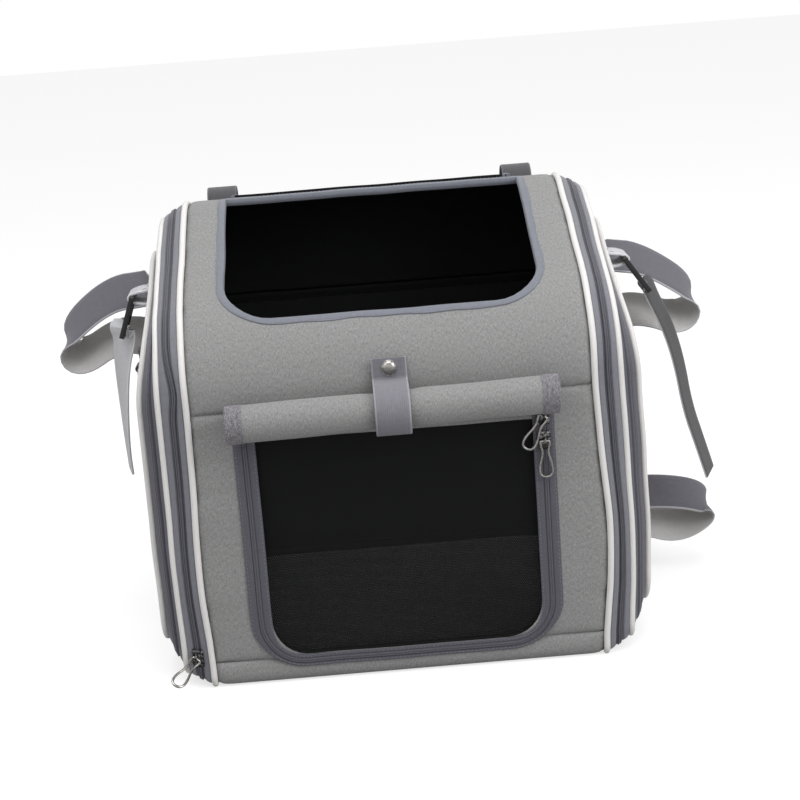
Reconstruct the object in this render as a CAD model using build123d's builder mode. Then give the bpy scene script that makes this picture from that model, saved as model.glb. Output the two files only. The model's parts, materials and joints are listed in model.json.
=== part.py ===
from build123d import *
from math import atan2, ceil, cos, degrees, radians, sin, sqrt, tan
import os

os.makedirs("parts", exist_ok=True)

# A soft dog basket for a handlebar: a padded sleeve makes its front, top, back and
# bottom, and a domed side closes each end. The origin is the middle of the bottom,
# +X is right seen from the front, +Y points to the handlebar and +Z is up.

# Driving dimensions of the body, in millimetres and degrees
sleeve_width = 300.0
depth = 250.0
corner_height = 271.5
slope = 24.0
shoulder_radius = 70.0
ridge_radius = 72.0
hem_radius = 9.0
padding = 4.0

# The domed sides: three pipings, each further out and further in from the edge
gusset_reach = 21.0
gusset_inset = 8.0
dome_reach = 36.0
dome_inset = 27.0
side_skin = 3.0
hem_growth_share = 0.6
shoulder_growth_share = 1 / 3
piping_radius = 2.4
outer_piping_radius = 2.2
piping_bevel = 1.4
chord_turn = 12.0

# Seams between the panels of the sleeve
seam_height = 215.0
back_seam_drop = 20.0
hem_height = 20.0

# Openings in the front and the top
window_width = 204.0
window_bottom = 22.0
window_top = 193.0
window_corner = 28.0
mesh_thickness = 1.0
mesh_overlap = 9.0
mesh_foot = 5.0
hatch_width = 236.0
hatch_front = 23.0
hatch_back = 176.0
hatch_corner = 35.0
binding_width = 6.0
binding_proud = 1.2
flap_thickness = 2.5
flap_margin = 8.0
flap_hang = 102.0
side_window_width = 98.0
side_window_height = 148.0
side_window_foot = 52.0
side_window_front = 51.0
side_window_corner = 24.0

# Zips: a tape with a raised row of coils, and sliders that ride over the coils
tape_thickness = 1.0
coil_width = 3.0
coil_height = 0.8
door_tape_width = 16.0
door_tape_hem = 9.0
zip_tuck = 6.0
slider_width = 9.0
slider_length = 14.0
slider_plate = 1.4
slider_rail = 1.3
slider_clearance = 0.3
crown_height = 3.0
crown_length = 5.5
crown_width = 1.6
crown_wall = 0.9
wire_sides = 6
pull_wire = 0.8
pull_top_width = 7.0
pull_foot_width = 10.0
slider_spacing = 5.0
door_pull_length = 28.0
gusset_pull_length = 31.0

# The rolled-up front door, its strap and the press stud
roll_radius = 16.5
roll_length = 240.0
roll_sheet = 3.4
roll_gap = 1.1
roll_drop = 1.5
roll_strap_width = 26.0
strap_thickness = 2.0
strap_clearance = 0.4
stud_rise = 26.0
stud_radius = 4.5
snap_radius = 6.0
snap_dome = 2.6
snap_sides = 20
strap_tab_end = 7.5

# Where the sliders of the sides rest, and how their pulls lie
gusset_slider_foot = 3.0
rear_slider_height = 62.0
pull_tilt = 30.0
corner_pull_swing = 70.0

# The loops that hang it on a handlebar
bar_radius = 15.9
bar_rise = 52.5
loop_spacing = 251.0
loop_sewn = 20.0
webbing_width = 25.0
webbing = 2.0

# The shoulder straps at the sides: wide webbing, a tab, a ladder lock and a tail
wide_webbing = 38.0
wide_strap_back = 74.0
strap_bend = 3.6
tail_bend = 9.0
shoulder_strap_reach = 74.0
shoulder_strap_drop = 68.0
right_strap_rise = 10.5
left_strap_rise = 12.5
lower_loop_reach = 80.0
lower_loop_drop = 30.0
lower_loop_top = 66.0
lock_middle = 14.0
lock_bar = 1.8
lock_length = 30.0
lock_thickness = 4.0
lock_rim = 3.4
lock_end = 2.8
bar_sides = 8
lock_hinge_out = 8.0
lock_hinge_rise = 8.5
tab_rise = 12.0
right_lock_lean = 34.0
left_lock_lean = 20.0
right_tail_reach = 48.0
right_tail_drop = 168.0
left_tail_reach = 8.0
left_tail_drop = 116.0

# The ring on the left side
ring_tab_width = 12.0
ring_tab_fall = 39.5
ring_tab_drop = 16.0
ring_middle = -28.0
ring_wire = 1.5
ring_width = 20.0
ring_drop = 20.0

# Inner boards and the mat
board_margin = 8.0
board_thickness = 3.0
board_corner = 12.0
mat_thickness = 12.0
mat_edge = 5.0
hoop_radius = 1.6

front_y = -depth / 2
back_y = depth / 2
sleeve_half = sleeve_width / 2 - piping_radius
middle_x = sleeve_width / 2 + gusset_reach
outer_x = sleeve_width / 2 + dome_reach
rise = tan(radians(slope))
ridge_foot = corner_height + depth * rise - ridge_radius * tan(radians((90 + slope) / 2))
back_seam_height = ridge_foot - back_seam_drop
roll_height = seam_height - roll_drop
stud_height = seam_height + stud_rise
lock_hinge_height = corner_height + lock_hinge_rise
ring_tab_height = corner_height - ring_tab_fall
overrun = padding
half_turn = 180
quarter_turn = 90


def keep(piece, name):
    """Label a finished piece and write it."""
    piece.part.label = name
    export_step(piece.part, f"parts/{name}.step")


def inset_at(x):
    """How far the side's surface lies inside the sleeve's outline, at this distance out."""
    out = x - sleeve_width / 2
    if out <= gusset_reach:
        return max(out, 0) * gusset_inset / gusset_reach
    return gusset_inset + (out - gusset_reach) * (dome_inset - gusset_inset) / (dome_reach - gusset_reach)


def lean_at(x):
    """How far the side's surface leans back from the front's plane, in radians."""
    return atan2(inset_at(x + overrun) - inset_at(x), overrun)


def outline(inset, skin=0, foot=0):
    """Draw the side outline, moved in by an inset and then by a wall's thickness."""
    edge = inset + skin
    front, back = front_y + edge, back_y - edge
    drop = edge / cos(radians(slope))
    front_top = corner_height + (front - front_y) * rise - drop
    back_top = corner_height + (back - front_y) * rise - drop
    hem = hem_radius + inset * hem_growth_share - skin
    shoulder = shoulder_radius - inset * shoulder_growth_share - skin
    ridge = ridge_radius - inset * shoulder_growth_share - skin
    FilletPolyline(
        (front, edge + foot), (front, front_top), (back, back_top), (back, edge + foot),
        radius=(hem, shoulder, ridge, hem), close=True,
    )


def outline_face(inset, skin=0, mode=Mode.ADD):
    """Fill the side outline."""
    with BuildLine() as edge:
        outline(inset, skin)
    make_face(edge.edges(), mode=mode)


def chord_face(inset, skin, foot=0, mode=Mode.ADD):
    """Fill the side outline with its round corners drawn in short chords."""
    with BuildLine(mode=Mode.PRIVATE) as edge:
        outline(inset, skin, foot)
    points = []
    for stretch in edge.wire().order_edges():
        steps = max(1, ceil((stretch % 0).get_angle(stretch % 1) / chord_turn))
        points += [stretch @ (step / steps) for step in range(steps)]
    with BuildLine() as chords:
        Polyline(*points, close=True)
    make_face(chords.edges(), mode=mode)


def body_cord(side, x, inset, radius, foot=0):
    """A cord that follows the side outline."""
    with BuildPart() as cord:
        with BuildSketch(Plane.YZ.offset(side * x)):
            chord_face(inset, -radius, foot)
            chord_face(inset, radius, foot, mode=Mode.SUBTRACT)
        extrude(amount=radius, both=True)
    return cord


def piping(side, x, inset, radius, foot=0):
    """A cord with its showing edges bevelled."""
    with BuildPart() as cord:
        add(body_cord(side, x, inset, radius, foot).part)
        caps = cord.faces().sort_by(Axis.X)
        chamfer(caps[0].outer_wire().edges() + caps[-1].outer_wire().edges(), length=piping_bevel)
    return cord


def side_band(side, outside, inner_skin):
    """A ring of the domed side whose outer surface passes through pairs of a place and a skin."""
    inside = [(x, inner_skin) for x, skin in (outside[0], outside[-1])]
    with BuildPart() as ring:
        for surface, mode in ((outside, Mode.ADD), (inside, Mode.SUBTRACT)):
            for x, skin in surface:
                with BuildSketch(Plane.YZ.offset(side * x)):
                    chord_face(inset_at(x), skin)
            loft(ruled=True, mode=mode)
    return ring


def window_shape(grow_side, grow_bottom, top, corner, mode=Mode.ADD):
    """The front window's outline: round lower corners and a straight top."""
    width = window_width + 2 * grow_side
    bottom = window_bottom - grow_bottom
    with BuildSketch(mode=Mode.PRIVATE) as shape:
        with Locations((0, (bottom + top) / 2)):
            Rectangle(width, top - bottom)
        fillet(shape.vertices().group_by(Axis.Y)[0], radius=corner)
    add(shape.sketch, mode=mode)


# The sleeve: one padded strip of cloth in four panels, sewn edge to edge
def sleeve_strip():
    """The whole sleeve's section."""
    outline_face(0)
    outline_face(0, padding, mode=Mode.SUBTRACT)


def clip(y_low, y_high, z_low, z_high, mode):
    """Keep or remove a stretch of the sleeve's section."""
    with Locations(((y_low + y_high) / 2, (z_low + z_high) / 2)):
        Rectangle(y_high - y_low, z_high - z_low, mode=mode)


with BuildPart() as front_panel:
    with BuildSketch(Plane.YZ):
        sleeve_strip()
        clip(front_y - overrun, 0, hem_height, seam_height, Mode.INTERSECT)
    extrude(amount=sleeve_half, both=True)
    with BuildSketch(Plane.XZ.offset(-front_y + overrun)):
        window_shape(0, 0, window_top, window_corner)
    extrude(amount=-(padding + 2 * overrun), mode=Mode.SUBTRACT)
keep(front_panel, "front_panel")

with BuildPart() as top_panel:
    with BuildSketch(Plane.YZ):
        sleeve_strip()
        clip(front_y - overrun, back_y + overrun, seam_height, 2 * corner_height, Mode.INTERSECT)
        clip(0, back_y + overrun, 0, back_seam_height, Mode.SUBTRACT)
    extrude(amount=sleeve_half, both=True)
    with BuildSketch(Plane.XY.offset(seam_height)) as hatch:
        with Locations((0, front_y + (hatch_front + hatch_back) / 2)):
            Rectangle(hatch_width, hatch_back - hatch_front)
        fillet(hatch.vertices().group_by(Axis.Y)[0], radius=hatch_corner)
    extrude(amount=2 * corner_height, mode=Mode.SUBTRACT)
keep(top_panel, "top_panel")

with BuildPart() as back_panel:
    with BuildSketch(Plane.YZ):
        sleeve_strip()
        clip(0, back_y + overrun, hem_height, back_seam_height, Mode.INTERSECT)
    extrude(amount=sleeve_half, both=True)
keep(back_panel, "back_panel")

with BuildPart() as bottom_panel:
    with BuildSketch(Plane.YZ):
        sleeve_strip()
        clip(front_y - overrun, back_y + overrun, -overrun, hem_height, Mode.INTERSECT)
    extrude(amount=sleeve_half, both=True)
keep(bottom_panel, "bottom_panel")

# The grey binding round the top opening: a folded tape sewn over the cut edge
with BuildPart() as top_binding:
    with BuildSketch(Plane.YZ):
        outline_face(0, -binding_proud)
        outline_face(0, mode=Mode.SUBTRACT)
        clip(front_y - overrun, back_y + overrun, seam_height, 2 * corner_height, Mode.INTERSECT)
    extrude(amount=sleeve_half, both=True)
    with BuildSketch(Plane.XY.offset(seam_height)) as hatch_rim:
        with Locations((0, front_y + (hatch_front + hatch_back) / 2)):
            Rectangle(hatch_width + 2 * binding_width, hatch_back - hatch_front + 2 * binding_width)
        fillet(hatch_rim.vertices().group_by(Axis.Y)[0], radius=hatch_corner + binding_width)
        add(hatch.sketch_local, mode=Mode.SUBTRACT)
    extrude(amount=2 * corner_height, mode=Mode.INTERSECT)
keep(top_binding, "top_binding")

# The front window: black mesh behind the opening, and the door's zip round it
with BuildPart() as front_mesh:
    with BuildSketch(Plane.XZ.offset(-front_y - padding)):
        with Locations((0, (window_bottom - mesh_foot + window_top + mesh_overlap) / 2)):
            Rectangle(window_width + 2 * mesh_overlap, window_top + mesh_overlap - window_bottom + mesh_foot)
    extrude(amount=-mesh_thickness)
keep(front_mesh, "front_mesh")

door_zip_top = roll_height - roll_radius + zip_tuck
coil_x = (window_width + door_tape_width) / 2
coil_foot = window_bottom - door_tape_hem / 2
with BuildPart() as door_zip:
    with BuildSketch(Plane.XZ.offset(-front_y)):
        window_shape(door_tape_width, door_tape_hem, door_zip_top, window_corner + door_tape_hem)
        window_shape(0, 0, door_zip_top, window_corner, Mode.SUBTRACT)
    extrude(amount=tape_thickness)
    with BuildSketch(Plane.XZ.offset(-front_y + tape_thickness)):
        with BuildLine():
            FilletPolyline(
                (-coil_x, door_zip_top), (-coil_x, coil_foot), (coil_x, coil_foot), (coil_x, door_zip_top),
                radius=window_corner + door_tape_hem / 2,
            )
        trace(line_width=coil_width)
    extrude(amount=coil_height)
keep(door_zip, "door_zip")

# The two sides: piping, a zipped gusset band, piping, a zipped outer band, piping,
# and a flat side panel with a mesh window
gusset_start = sleeve_width / 2 + piping_radius
gusset_stop = middle_x - piping_radius
zip_start = gusset_start + (gusset_stop - gusset_start) / 3
zip_stop = gusset_stop - (gusset_stop - gusset_start) / 3
gusset_zip_x = (zip_start + zip_stop) / 2
dome_start = middle_x + piping_radius
dome_stop = outer_x - outer_piping_radius
side_zip_x = (dome_start + dome_stop) / 2
panel_inset = dome_inset + outer_piping_radius
panel_face = outer_x + outer_piping_radius / 2
side_window_middle = (front_y + side_window_front + side_window_width / 2,
                      side_window_foot + side_window_height / 2)
hoop_x = gusset_stop - hoop_radius
hoop_inset = inset_at(gusset_stop) + side_skin + hoop_radius

for side, hand in ((-1, "left"), (1, "right")):
    keep(piping(side, sleeve_width / 2, piping_radius / 2, piping_radius, piping_radius / 2),
         f"front_piping_{hand}")
    keep(side_band(side, ((gusset_start, 0), (zip_start, 0)), side_skin), f"inner_gusset_{hand}")
    keep(side_band(side, ((zip_stop, 0), (gusset_stop, 0)), side_skin), f"outer_gusset_{hand}")
    gusset_chain = ((zip_start, tape_thickness), (gusset_zip_x, -coil_height), (zip_stop, tape_thickness))
    keep(side_band(side, gusset_chain, side_skin), f"gusset_zip_{hand}")
    keep(piping(side, middle_x, gusset_inset + piping_radius / 2, piping_radius),
         f"middle_piping_{hand}")
    side_chain = (
        (dome_start, 0), (side_zip_x - coil_width / 2, 0), (side_zip_x, -coil_height),
        (side_zip_x + coil_width / 2, 0), (dome_stop, 0),
    )
    keep(side_band(side, side_chain, side_skin), f"side_zip_{hand}")
    keep(piping(side, outer_x, dome_inset, outer_piping_radius), f"outer_piping_{hand}")
    with BuildPart() as side_panel:
        with BuildSketch(Plane.YZ.offset(side * panel_face)):
            chord_face(panel_inset, 0)
            with Locations(side_window_middle):
                RectangleRounded(side_window_width, side_window_height, side_window_corner,
                                 mode=Mode.SUBTRACT)
        extrude(amount=-side * side_skin)
    keep(side_panel, f"side_panel_{hand}")
    with BuildPart() as side_mesh:
        with BuildSketch(Plane.YZ.offset(side * (panel_face - side_skin))):
            with Locations(side_window_middle):
                Rectangle(side_window_width + 2 * mesh_overlap, side_window_height + 2 * mesh_overlap)
        extrude(amount=-side * mesh_thickness)
    keep(side_mesh, f"side_mesh_{hand}")

# The sprung wire hoops that hold both sides open
with BuildPart() as side_hoops:
    for side in (-1, 1):
        add(body_cord(side, hoop_x, hoop_inset, hoop_radius).part)
keep(side_hoops, "side_hoops")

# Boards that keep the bottom and the back flat, and the mat on the bottom board
with BuildPart() as base_board:
    with BuildSketch(Plane.XY.offset(padding)):
        Rectangle(2 * (sleeve_half - board_margin), depth - 2 * board_corner)
    extrude(amount=board_thickness)
    chamfer(base_board.edges().filter_by(Axis.Z), length=board_corner)
keep(base_board, "base_board")

with BuildPart() as mat:
    with BuildSketch(Plane.XY.offset(padding + board_thickness)):
        RectangleRounded(2 * (sleeve_half - board_margin), depth - 2 * board_corner, board_corner)
    extrude(amount=mat_thickness)
    chamfer(mat.faces().sort_by(Axis.Z)[-1].edges(), length=mat_edge)
keep(mat, "mat")

board_foot = hem_height + mat_thickness
with BuildPart() as back_board:
    with BuildSketch(Plane.XZ.offset(-(back_y - padding))):
        with Locations((0, (board_foot + back_seam_height - board_margin) / 2)):
            Rectangle(2 * (sleeve_half - board_margin), back_seam_height - board_margin - board_foot)
    extrude(amount=board_thickness)
    chamfer(back_board.edges().filter_by(Axis.Y), length=board_corner)
keep(back_board, "back_board")

# The front door, rolled up to the seam. The sheet comes down behind the roll and
# winds inwards in half turns, each smaller by half the pitch
roll_pitch = roll_sheet + roll_gap
roll_line = roll_radius - roll_sheet / 2
roll_y = front_y - roll_sheet / 2 - roll_line
half_turns = int(2 * (roll_line - roll_pitch) / roll_pitch)
with BuildPart() as rolled_door:
    with BuildSketch(Plane.YZ):
        with BuildLine():
            Line((roll_y + roll_line, seam_height + roll_sheet), (roll_y + roll_line, roll_height))
            for turn in range(half_turns):
                lag = turn % 2
                CenterArc((roll_y - lag * roll_pitch / 2, roll_height),
                          roll_line - turn * roll_pitch / 2, lag * half_turn, -half_turn)
        trace(line_width=roll_sheet)
    extrude(amount=roll_length / 2, both=True)
keep(rolled_door, "rolled_door")

# The strap that holds the roll: sewn on under it and up its front. Its loose end folds
# over the roll and presses onto a stud, and its fold is the hinge
strap_line = roll_radius + strap_clearance + strap_thickness / 2
tab_y = front_y - strap_thickness - slider_clearance
fold_angle = degrees(2 * slider_clearance / strap_line)
with BuildPart() as roll_strap:
    with BuildSketch(Plane.YZ):
        with BuildLine():
            Line((front_y, roll_height - strap_line), (roll_y, roll_height - strap_line))
            CenterArc((roll_y, roll_height), strap_line, -quarter_turn, -quarter_turn)
        trace(line_width=strap_thickness)
    extrude(amount=roll_strap_width / 2, both=True)
keep(roll_strap, "roll_strap")

with BuildPart() as roll_strap_end:
    with BuildSketch(Plane.YZ):
        with BuildLine():
            CenterArc((roll_y, roll_height), strap_line, half_turn - fold_angle, fold_angle - quarter_turn)
            FilletPolyline(
                (roll_y, roll_height + strap_line), (tab_y, roll_height + strap_line),
                (tab_y, stud_height + strap_tab_end), radius=1.5 * strap_thickness,
            )
        trace(line_width=strap_thickness)
    extrude(amount=roll_strap_width / 2, both=True)
keep(roll_strap_end, "roll_strap_end")

# The press stud on the top panel and its domed cap on the strap
arc_rise = stud_height - stud_radius - (corner_height - shoulder_radius * tan(radians((90 - slope) / 2)))
stud_seat = front_y + shoulder_radius - sqrt(shoulder_radius**2 - max(arc_rise, 0)**2)
with BuildPart() as snap_stud:
    with BuildSketch(Plane.XZ.offset(-stud_seat)):
        with Locations((0, stud_height)):
            RegularPolygon(stud_radius, snap_sides)
    extrude(amount=stud_seat - tab_y - strap_thickness / 2 - slider_clearance)
keep(snap_stud, "snap_stud")

cap_face = tab_y - strap_thickness / 2
with BuildPart() as snap_cap:
    with BuildSketch(Plane.XZ.offset(-cap_face)):
        with Locations((0, stud_height)):
            RegularPolygon(snap_radius, snap_sides)
    extrude(amount=snap_dome)
    chamfer(snap_cap.faces().sort_by(Axis.Y)[0].edges(), length=snap_dome * 3 / 4)
keep(snap_cap, "snap_cap")


# Sliders and their wire pulls. Each stands on a plane whose normal points out of the
# zip and whose y runs up the chain
crown_seat = slider_clearance + coil_height + slider_plate
pull_axis = crown_seat + pull_wire + slider_clearance


def slider(plane):
    """A slider: a waisted plate on two rails, with an arch that holds the pull."""
    with BuildPart() as body:
        with BuildSketch(plane.offset(slider_clearance)):
            with GridLocations(slider_width - slider_rail, 0, 2, 1):
                Rectangle(slider_rail, slider_length)
        extrude(amount=coil_height)
        with BuildSketch(plane.offset(slider_clearance + coil_height)) as plate:
            Rectangle(slider_width, slider_length)
            chamfer(plate.vertices(), length=slider_width / 4)
            with GridLocations(slider_width + slider_length / 2, 0, 2, 1):
                RegularPolygon(slider_length / 3, wire_sides, mode=Mode.SUBTRACT)
        extrude(amount=slider_plate)
        across = Plane(origin=plane.origin, x_dir=plane.y_dir, z_dir=plane.x_dir)
        with BuildSketch(across):
            with BuildLine():
                Polyline(
                    (-crown_length / 2, crown_seat - crown_wall),
                    (-crown_length / 2, crown_seat + crown_height / 2),
                    (-crown_length / 2 + crown_height / 2, crown_seat + crown_height),
                    (crown_length / 2 - crown_height / 2, crown_seat + crown_height),
                    (crown_length / 2, crown_seat + crown_height / 2),
                    (crown_length / 2, crown_seat - crown_wall),
                )
            trace(line_width=crown_wall)
        extrude(amount=crown_width / 2, both=True)
    return body


def wire_loop(plane, top, foot, length, radius):
    """A closed loop of wire in facets: a top bar on the plane's origin, hanging to its -y."""
    bow = (foot - radius) / 2
    with BuildPart() as wire:
        with BuildLine(plane) as path:
            Polyline(
                (0, 0), (top - radius, 0), (top, -radius), (foot, -length + 2 * bow),
                (foot - bow / 2, -length + bow / 2), (foot - 2 * bow, -length),
                (2 * bow - foot, -length), (bow / 2 - foot, -length + bow / 2), (-foot, -length + 2 * bow),
                (-top, -radius), (radius - top, 0), close=True,
            )
        with BuildSketch(Plane(origin=plane.origin, x_dir=plane.z_dir, z_dir=plane.x_dir)):
            RegularPolygon(radius, wire_sides)
        sweep(path=path.wire(), transition=Transition.RIGHT)
    return wire


def wire_pull(plane, length):
    """A slider's pull."""
    return wire_loop(plane, pull_top_width / 2, pull_foot_width / 2, length, pull_wire)


def lifted(plane, x_dir, z_dir):
    """A plane at the pull's hinge, turned as the pull hangs."""
    hinge = plane.offset(pull_axis).origin
    return Plane(origin=hinge, x_dir=x_dir, z_dir=z_dir)


# The door's sliders sit at the top of its right leg, just under the roll. The upper
# one's pull hangs askew
front_out = (0, -1, 0)
upper_slider_z = door_zip_top - slider_length / 2 - slider_clearance
door_slider_z = upper_slider_z - slider_length - slider_spacing
door_zip_face = front_y - tape_thickness
door_chain = Plane(origin=(coil_x, door_zip_face, door_slider_z), x_dir=(1, 0, 0), z_dir=front_out)
upper_chain = Plane(origin=(coil_x, door_zip_face, upper_slider_z), x_dir=(1, 0, 0), z_dir=front_out)
keep(slider(door_chain), "door_slider")
keep(slider(upper_chain), "upper_slider")
keep(wire_pull(lifted(door_chain, (1, 0, 0), front_out), door_pull_length), "door_pull")
askew = (cos(radians(pull_tilt)), 0, -sin(radians(pull_tilt)))
keep(wire_pull(lifted(upper_chain, askew, front_out), door_pull_length), "upper_pull")


# The sides' sliders. The left gusset's one sits at the front corner, its pull out to
# the left; the others hang at the back
def chain_plane(side, x, facing, height):
    """The plane of a side zip's chain on its upright leg, facing forwards or back."""
    out = (side * sin(lean_at(x)), facing * cos(lean_at(x)), 0)
    return Plane(origin=(side * x, facing * (depth / 2 - inset_at(x)), height),
                 x_dir=(-out[1], out[0], 0), z_dir=out)


corner_slider_z = inset_at(gusset_zip_x) * (1 + hem_growth_share) + hem_radius + gusset_slider_foot
corner_chain = chain_plane(-1, gusset_zip_x, -1, corner_slider_z + slider_length / 2)
keep(slider(corner_chain), "gusset_slider_left")
corner_bar = corner_chain.x_dir.rotate(Axis((0, 0, 0), corner_chain.z_dir), -pull_tilt)
corner_out = corner_chain.z_dir.rotate(Axis((0, 0, 0), corner_bar), -corner_pull_swing)
keep(wire_pull(lifted(corner_chain, corner_bar, corner_out), gusset_pull_length), "gusset_pull_left")

rear_sliders = (
    (1, gusset_zip_x, "gusset", "right"), (-1, side_zip_x, "side", "left"), (1, side_zip_x, "side", "right"),
)
for side, chain_x, zip_name, hand in rear_sliders:
    chain = chain_plane(side, chain_x, 1, rear_slider_height)
    keep(slider(chain), f"{zip_name}_slider_{hand}")
    keep(wire_pull(lifted(chain, chain.x_dir, chain.z_dir), gusset_pull_length), f"{zip_name}_pull_{hand}")

# The loops of webbing that close round the handlebar, sewn to the back
bar_y = back_y + webbing + bar_radius
bar_height = corner_height + bar_rise
loop_foot = back_seam_height - loop_sewn
for side, hand in ((-1, "left"), (1, "right")):
    with BuildPart() as bar_loop:
        with BuildSketch(Plane.YZ.offset(side * loop_spacing / 2)):
            with Locations((back_y + webbing / 2, (bar_height + loop_foot) / 2)):
                Rectangle(webbing, bar_height - loop_foot)
            with Locations((bar_y, bar_height)):
                Circle(bar_radius + webbing)
                Circle(bar_radius, mode=Mode.SUBTRACT)
        extrude(amount=webbing_width / 2, both=True)
    keep(bar_loop, f"handlebar_loop_{hand}")


# The shoulder straps. Their points are shares of a reach out of the side and a drop
def webbing_strip(side, points, bend_radius, width, back):
    """A strip of webbing that bends in the plane across the body."""
    with BuildPart() as strip:
        with BuildSketch(Plane.XZ.offset(-back)):
            with BuildLine():
                FilletPolyline([(side * x, z) for x, z in points], radius=bend_radius)
            trace(line_width=webbing)
        extrude(amount=width)
    return strip


def strap_points(shares, reach, drop, top):
    """Places of a strap's bends beside the side panel."""
    seat = panel_face + webbing / 2
    return [(seat + out_share * reach, top + up_share * drop) for out_share, up_share in shares]


right_strap_shares = (
    (0, 0.07), (0, -0.1), (0.42, -0.2), (1, -0.66), (0.8, -1), (0.3, -0.78), (0, -0.86), (0, -1.06),
)
left_strap_shares = (
    (0, 0.05), (0, -0.1), (0.45, -0.14), (1, -0.62), (0.84, -0.94), (0.34, -0.62), (0, -0.72), (0, -0.94),
)
lower_loop_shares = (
    (0, 0.45), (0, 0), (0.38, 0.06), (0.86, -0.16), (1, -0.55),
    (0.62, -1.1), (0.2, -0.72), (0, -0.62), (0, -1.1),
)
shoulder = (shoulder_strap_reach, shoulder_strap_drop)
wide_straps = (
    (1, right_strap_shares, *shoulder, corner_height + right_strap_rise, "shoulder_strap_right"),
    (-1, left_strap_shares, *shoulder, corner_height + left_strap_rise, "shoulder_strap_left"),
    (1, lower_loop_shares, lower_loop_reach, lower_loop_drop, lower_loop_top, "lower_strap_loop"),
)
for side, shares, reach, drop, top, strap_name in wide_straps:
    points = strap_points(shares, reach, drop, top)
    keep(webbing_strip(side, points, strap_bend, wide_webbing, wide_strap_back), strap_name)

# The ladder locks: each hangs by a round bar in a sewn tab, and its tail hangs from
# its lowest bar
lock_x = panel_face + lock_hinge_out
eye_radius = lock_bar + slider_clearance


def webbing_eye(radius):
    """The section of webbing folded round a bar."""
    for size, mode in ((radius + webbing, Mode.ADD), (radius, Mode.SUBTRACT)):
        RegularPolygon(size, bar_sides, major_radius=False, rotation=half_turn / bar_sides, mode=mode)


right_tail_shares = ((0.3, -0.22), (0.52, -0.44), (0.85, -0.8), (1, -1))
left_tail_shares = ((0.55, -0.2), (0.85, -0.45), (1, -0.8), (0.9, -1))
tails = (
    (-1, "left", left_lock_lean, left_tail_shares, left_tail_reach, left_tail_drop),
    (1, "right", right_lock_lean, right_tail_shares, right_tail_reach, right_tail_drop),
)
for side, hand, lean, tail_shares, tail_reach, tail_drop in tails:
    with BuildPart() as tab:
        with BuildSketch(Plane.XZ.offset(-(lock_middle + webbing_width / 2))):
            with BuildLine():
                FilletPolyline(
                    (side * (panel_face + webbing / 2), lock_hinge_height + tab_rise),
                    (side * (panel_face + webbing / 2), lock_hinge_height + eye_radius + webbing / 2),
                    (side * lock_x, lock_hinge_height + eye_radius + webbing / 2),
                    radius=webbing,
                )
            trace(line_width=webbing)
            with Locations((side * lock_x, lock_hinge_height)):
                webbing_eye(eye_radius)
        extrude(amount=webbing_width)
    keep(tab, f"strap_tab_{hand}")

    along = (side * sin(radians(lean)), 0, -cos(radians(lean)))
    face = (side * cos(radians(lean)), 0, sin(radians(lean)))
    lock_plane = Plane(origin=(side * lock_x, lock_middle, lock_hinge_height), x_dir=along, z_dir=face)
    lock_width = webbing_width + 2 * (slider_clearance + lock_rim)
    with BuildPart() as lock:
        with BuildSketch(lock_plane.offset(-lock_thickness / 2)) as frame:
            with Locations((lock_length / 2, 0)):
                Rectangle(lock_length + 2 * lock_end, lock_width)
            fillet(frame.vertices(), radius=lock_bar)
            with Locations((lock_length / 2, 0)):
                Rectangle(lock_length + 3 * lock_end, webbing_width + 2 * slider_clearance,
                          mode=Mode.SUBTRACT)
        extrude(amount=lock_thickness)
        for share in (0, 0.5, 1):
            across = Plane(origin=lock_plane.from_local_coords((share * lock_length, 0, 0)),
                           z_dir=lock_plane.y_dir)
            with BuildSketch(across):
                RegularPolygon(lock_bar, bar_sides)
            extrude(amount=lock_width / 2 - lock_rim / 2, both=True)
    keep(lock, f"ladder_lock_{hand}")

    low_bar = lock_plane.from_local_coords((lock_length, 0, 0))
    eye = eye_radius + webbing / 2
    tail_points = [(low_bar.X + side * out_share * tail_reach, low_bar.Z + up_share * tail_drop)
                   for out_share, up_share in tail_shares]
    with BuildPart() as tail:
        with BuildSketch(Plane.XZ.offset(-(lock_middle + webbing_width / 2))):
            with BuildLine():
                FilletPolyline(
                    (low_bar.X + side * eye, low_bar.Z), (low_bar.X + side * eye, low_bar.Z - 2 * eye),
                    *tail_points, radius=tail_bend,
                )
            trace(line_width=webbing)
            with Locations((low_bar.X, low_bar.Z)):
                webbing_eye(eye_radius)
        extrude(amount=webbing_width)
    keep(tail, f"strap_tail_{hand}")

# The wire ring on the left side, in its own folded tab
ring_x = panel_face + webbing + ring_wire + slider_clearance
ring_eye = ring_wire + slider_clearance
with BuildPart() as ring_tab:
    with BuildSketch(Plane.XZ.offset(-(ring_middle + ring_tab_width / 2))):
        with Locations((-(panel_face + webbing / 2), ring_tab_height + ring_tab_drop / 2)):
            Rectangle(webbing, ring_tab_drop)
        with Locations((-ring_x, ring_tab_height)):
            webbing_eye(ring_eye)
    extrude(amount=ring_tab_width)
keep(ring_tab, "ring_tab")

ring_plane = Plane(origin=(-ring_x, ring_middle, ring_tab_height), x_dir=(0, 1, 0), z_dir=(1, 0, 0))
keep(wire_loop(ring_plane, ring_width / 2, ring_width / 2, ring_drop, ring_wire), "side_ring")

# The top flap, unzipped and laid back over the ridge, hanging behind the back panel
flap_start = front_y + hatch_back + binding_width
flap_foot = back_seam_height - flap_hang
with BuildPart() as top_flap:
    with BuildSketch(Plane.YZ):
        outline_face(0, -flap_thickness)
        outline_face(0, mode=Mode.SUBTRACT)
        clip(flap_start, back_y + 2 * overrun, flap_foot, 2 * corner_height, Mode.INTERSECT)
    extrude(amount=hatch_width / 2 - flap_margin, both=True)
keep(top_flap, "top_flap")
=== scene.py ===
import json
from functools import lru_cache
from math import atan2, ceil, cos, exp, hypot, pi, radians, sin, tan

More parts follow.
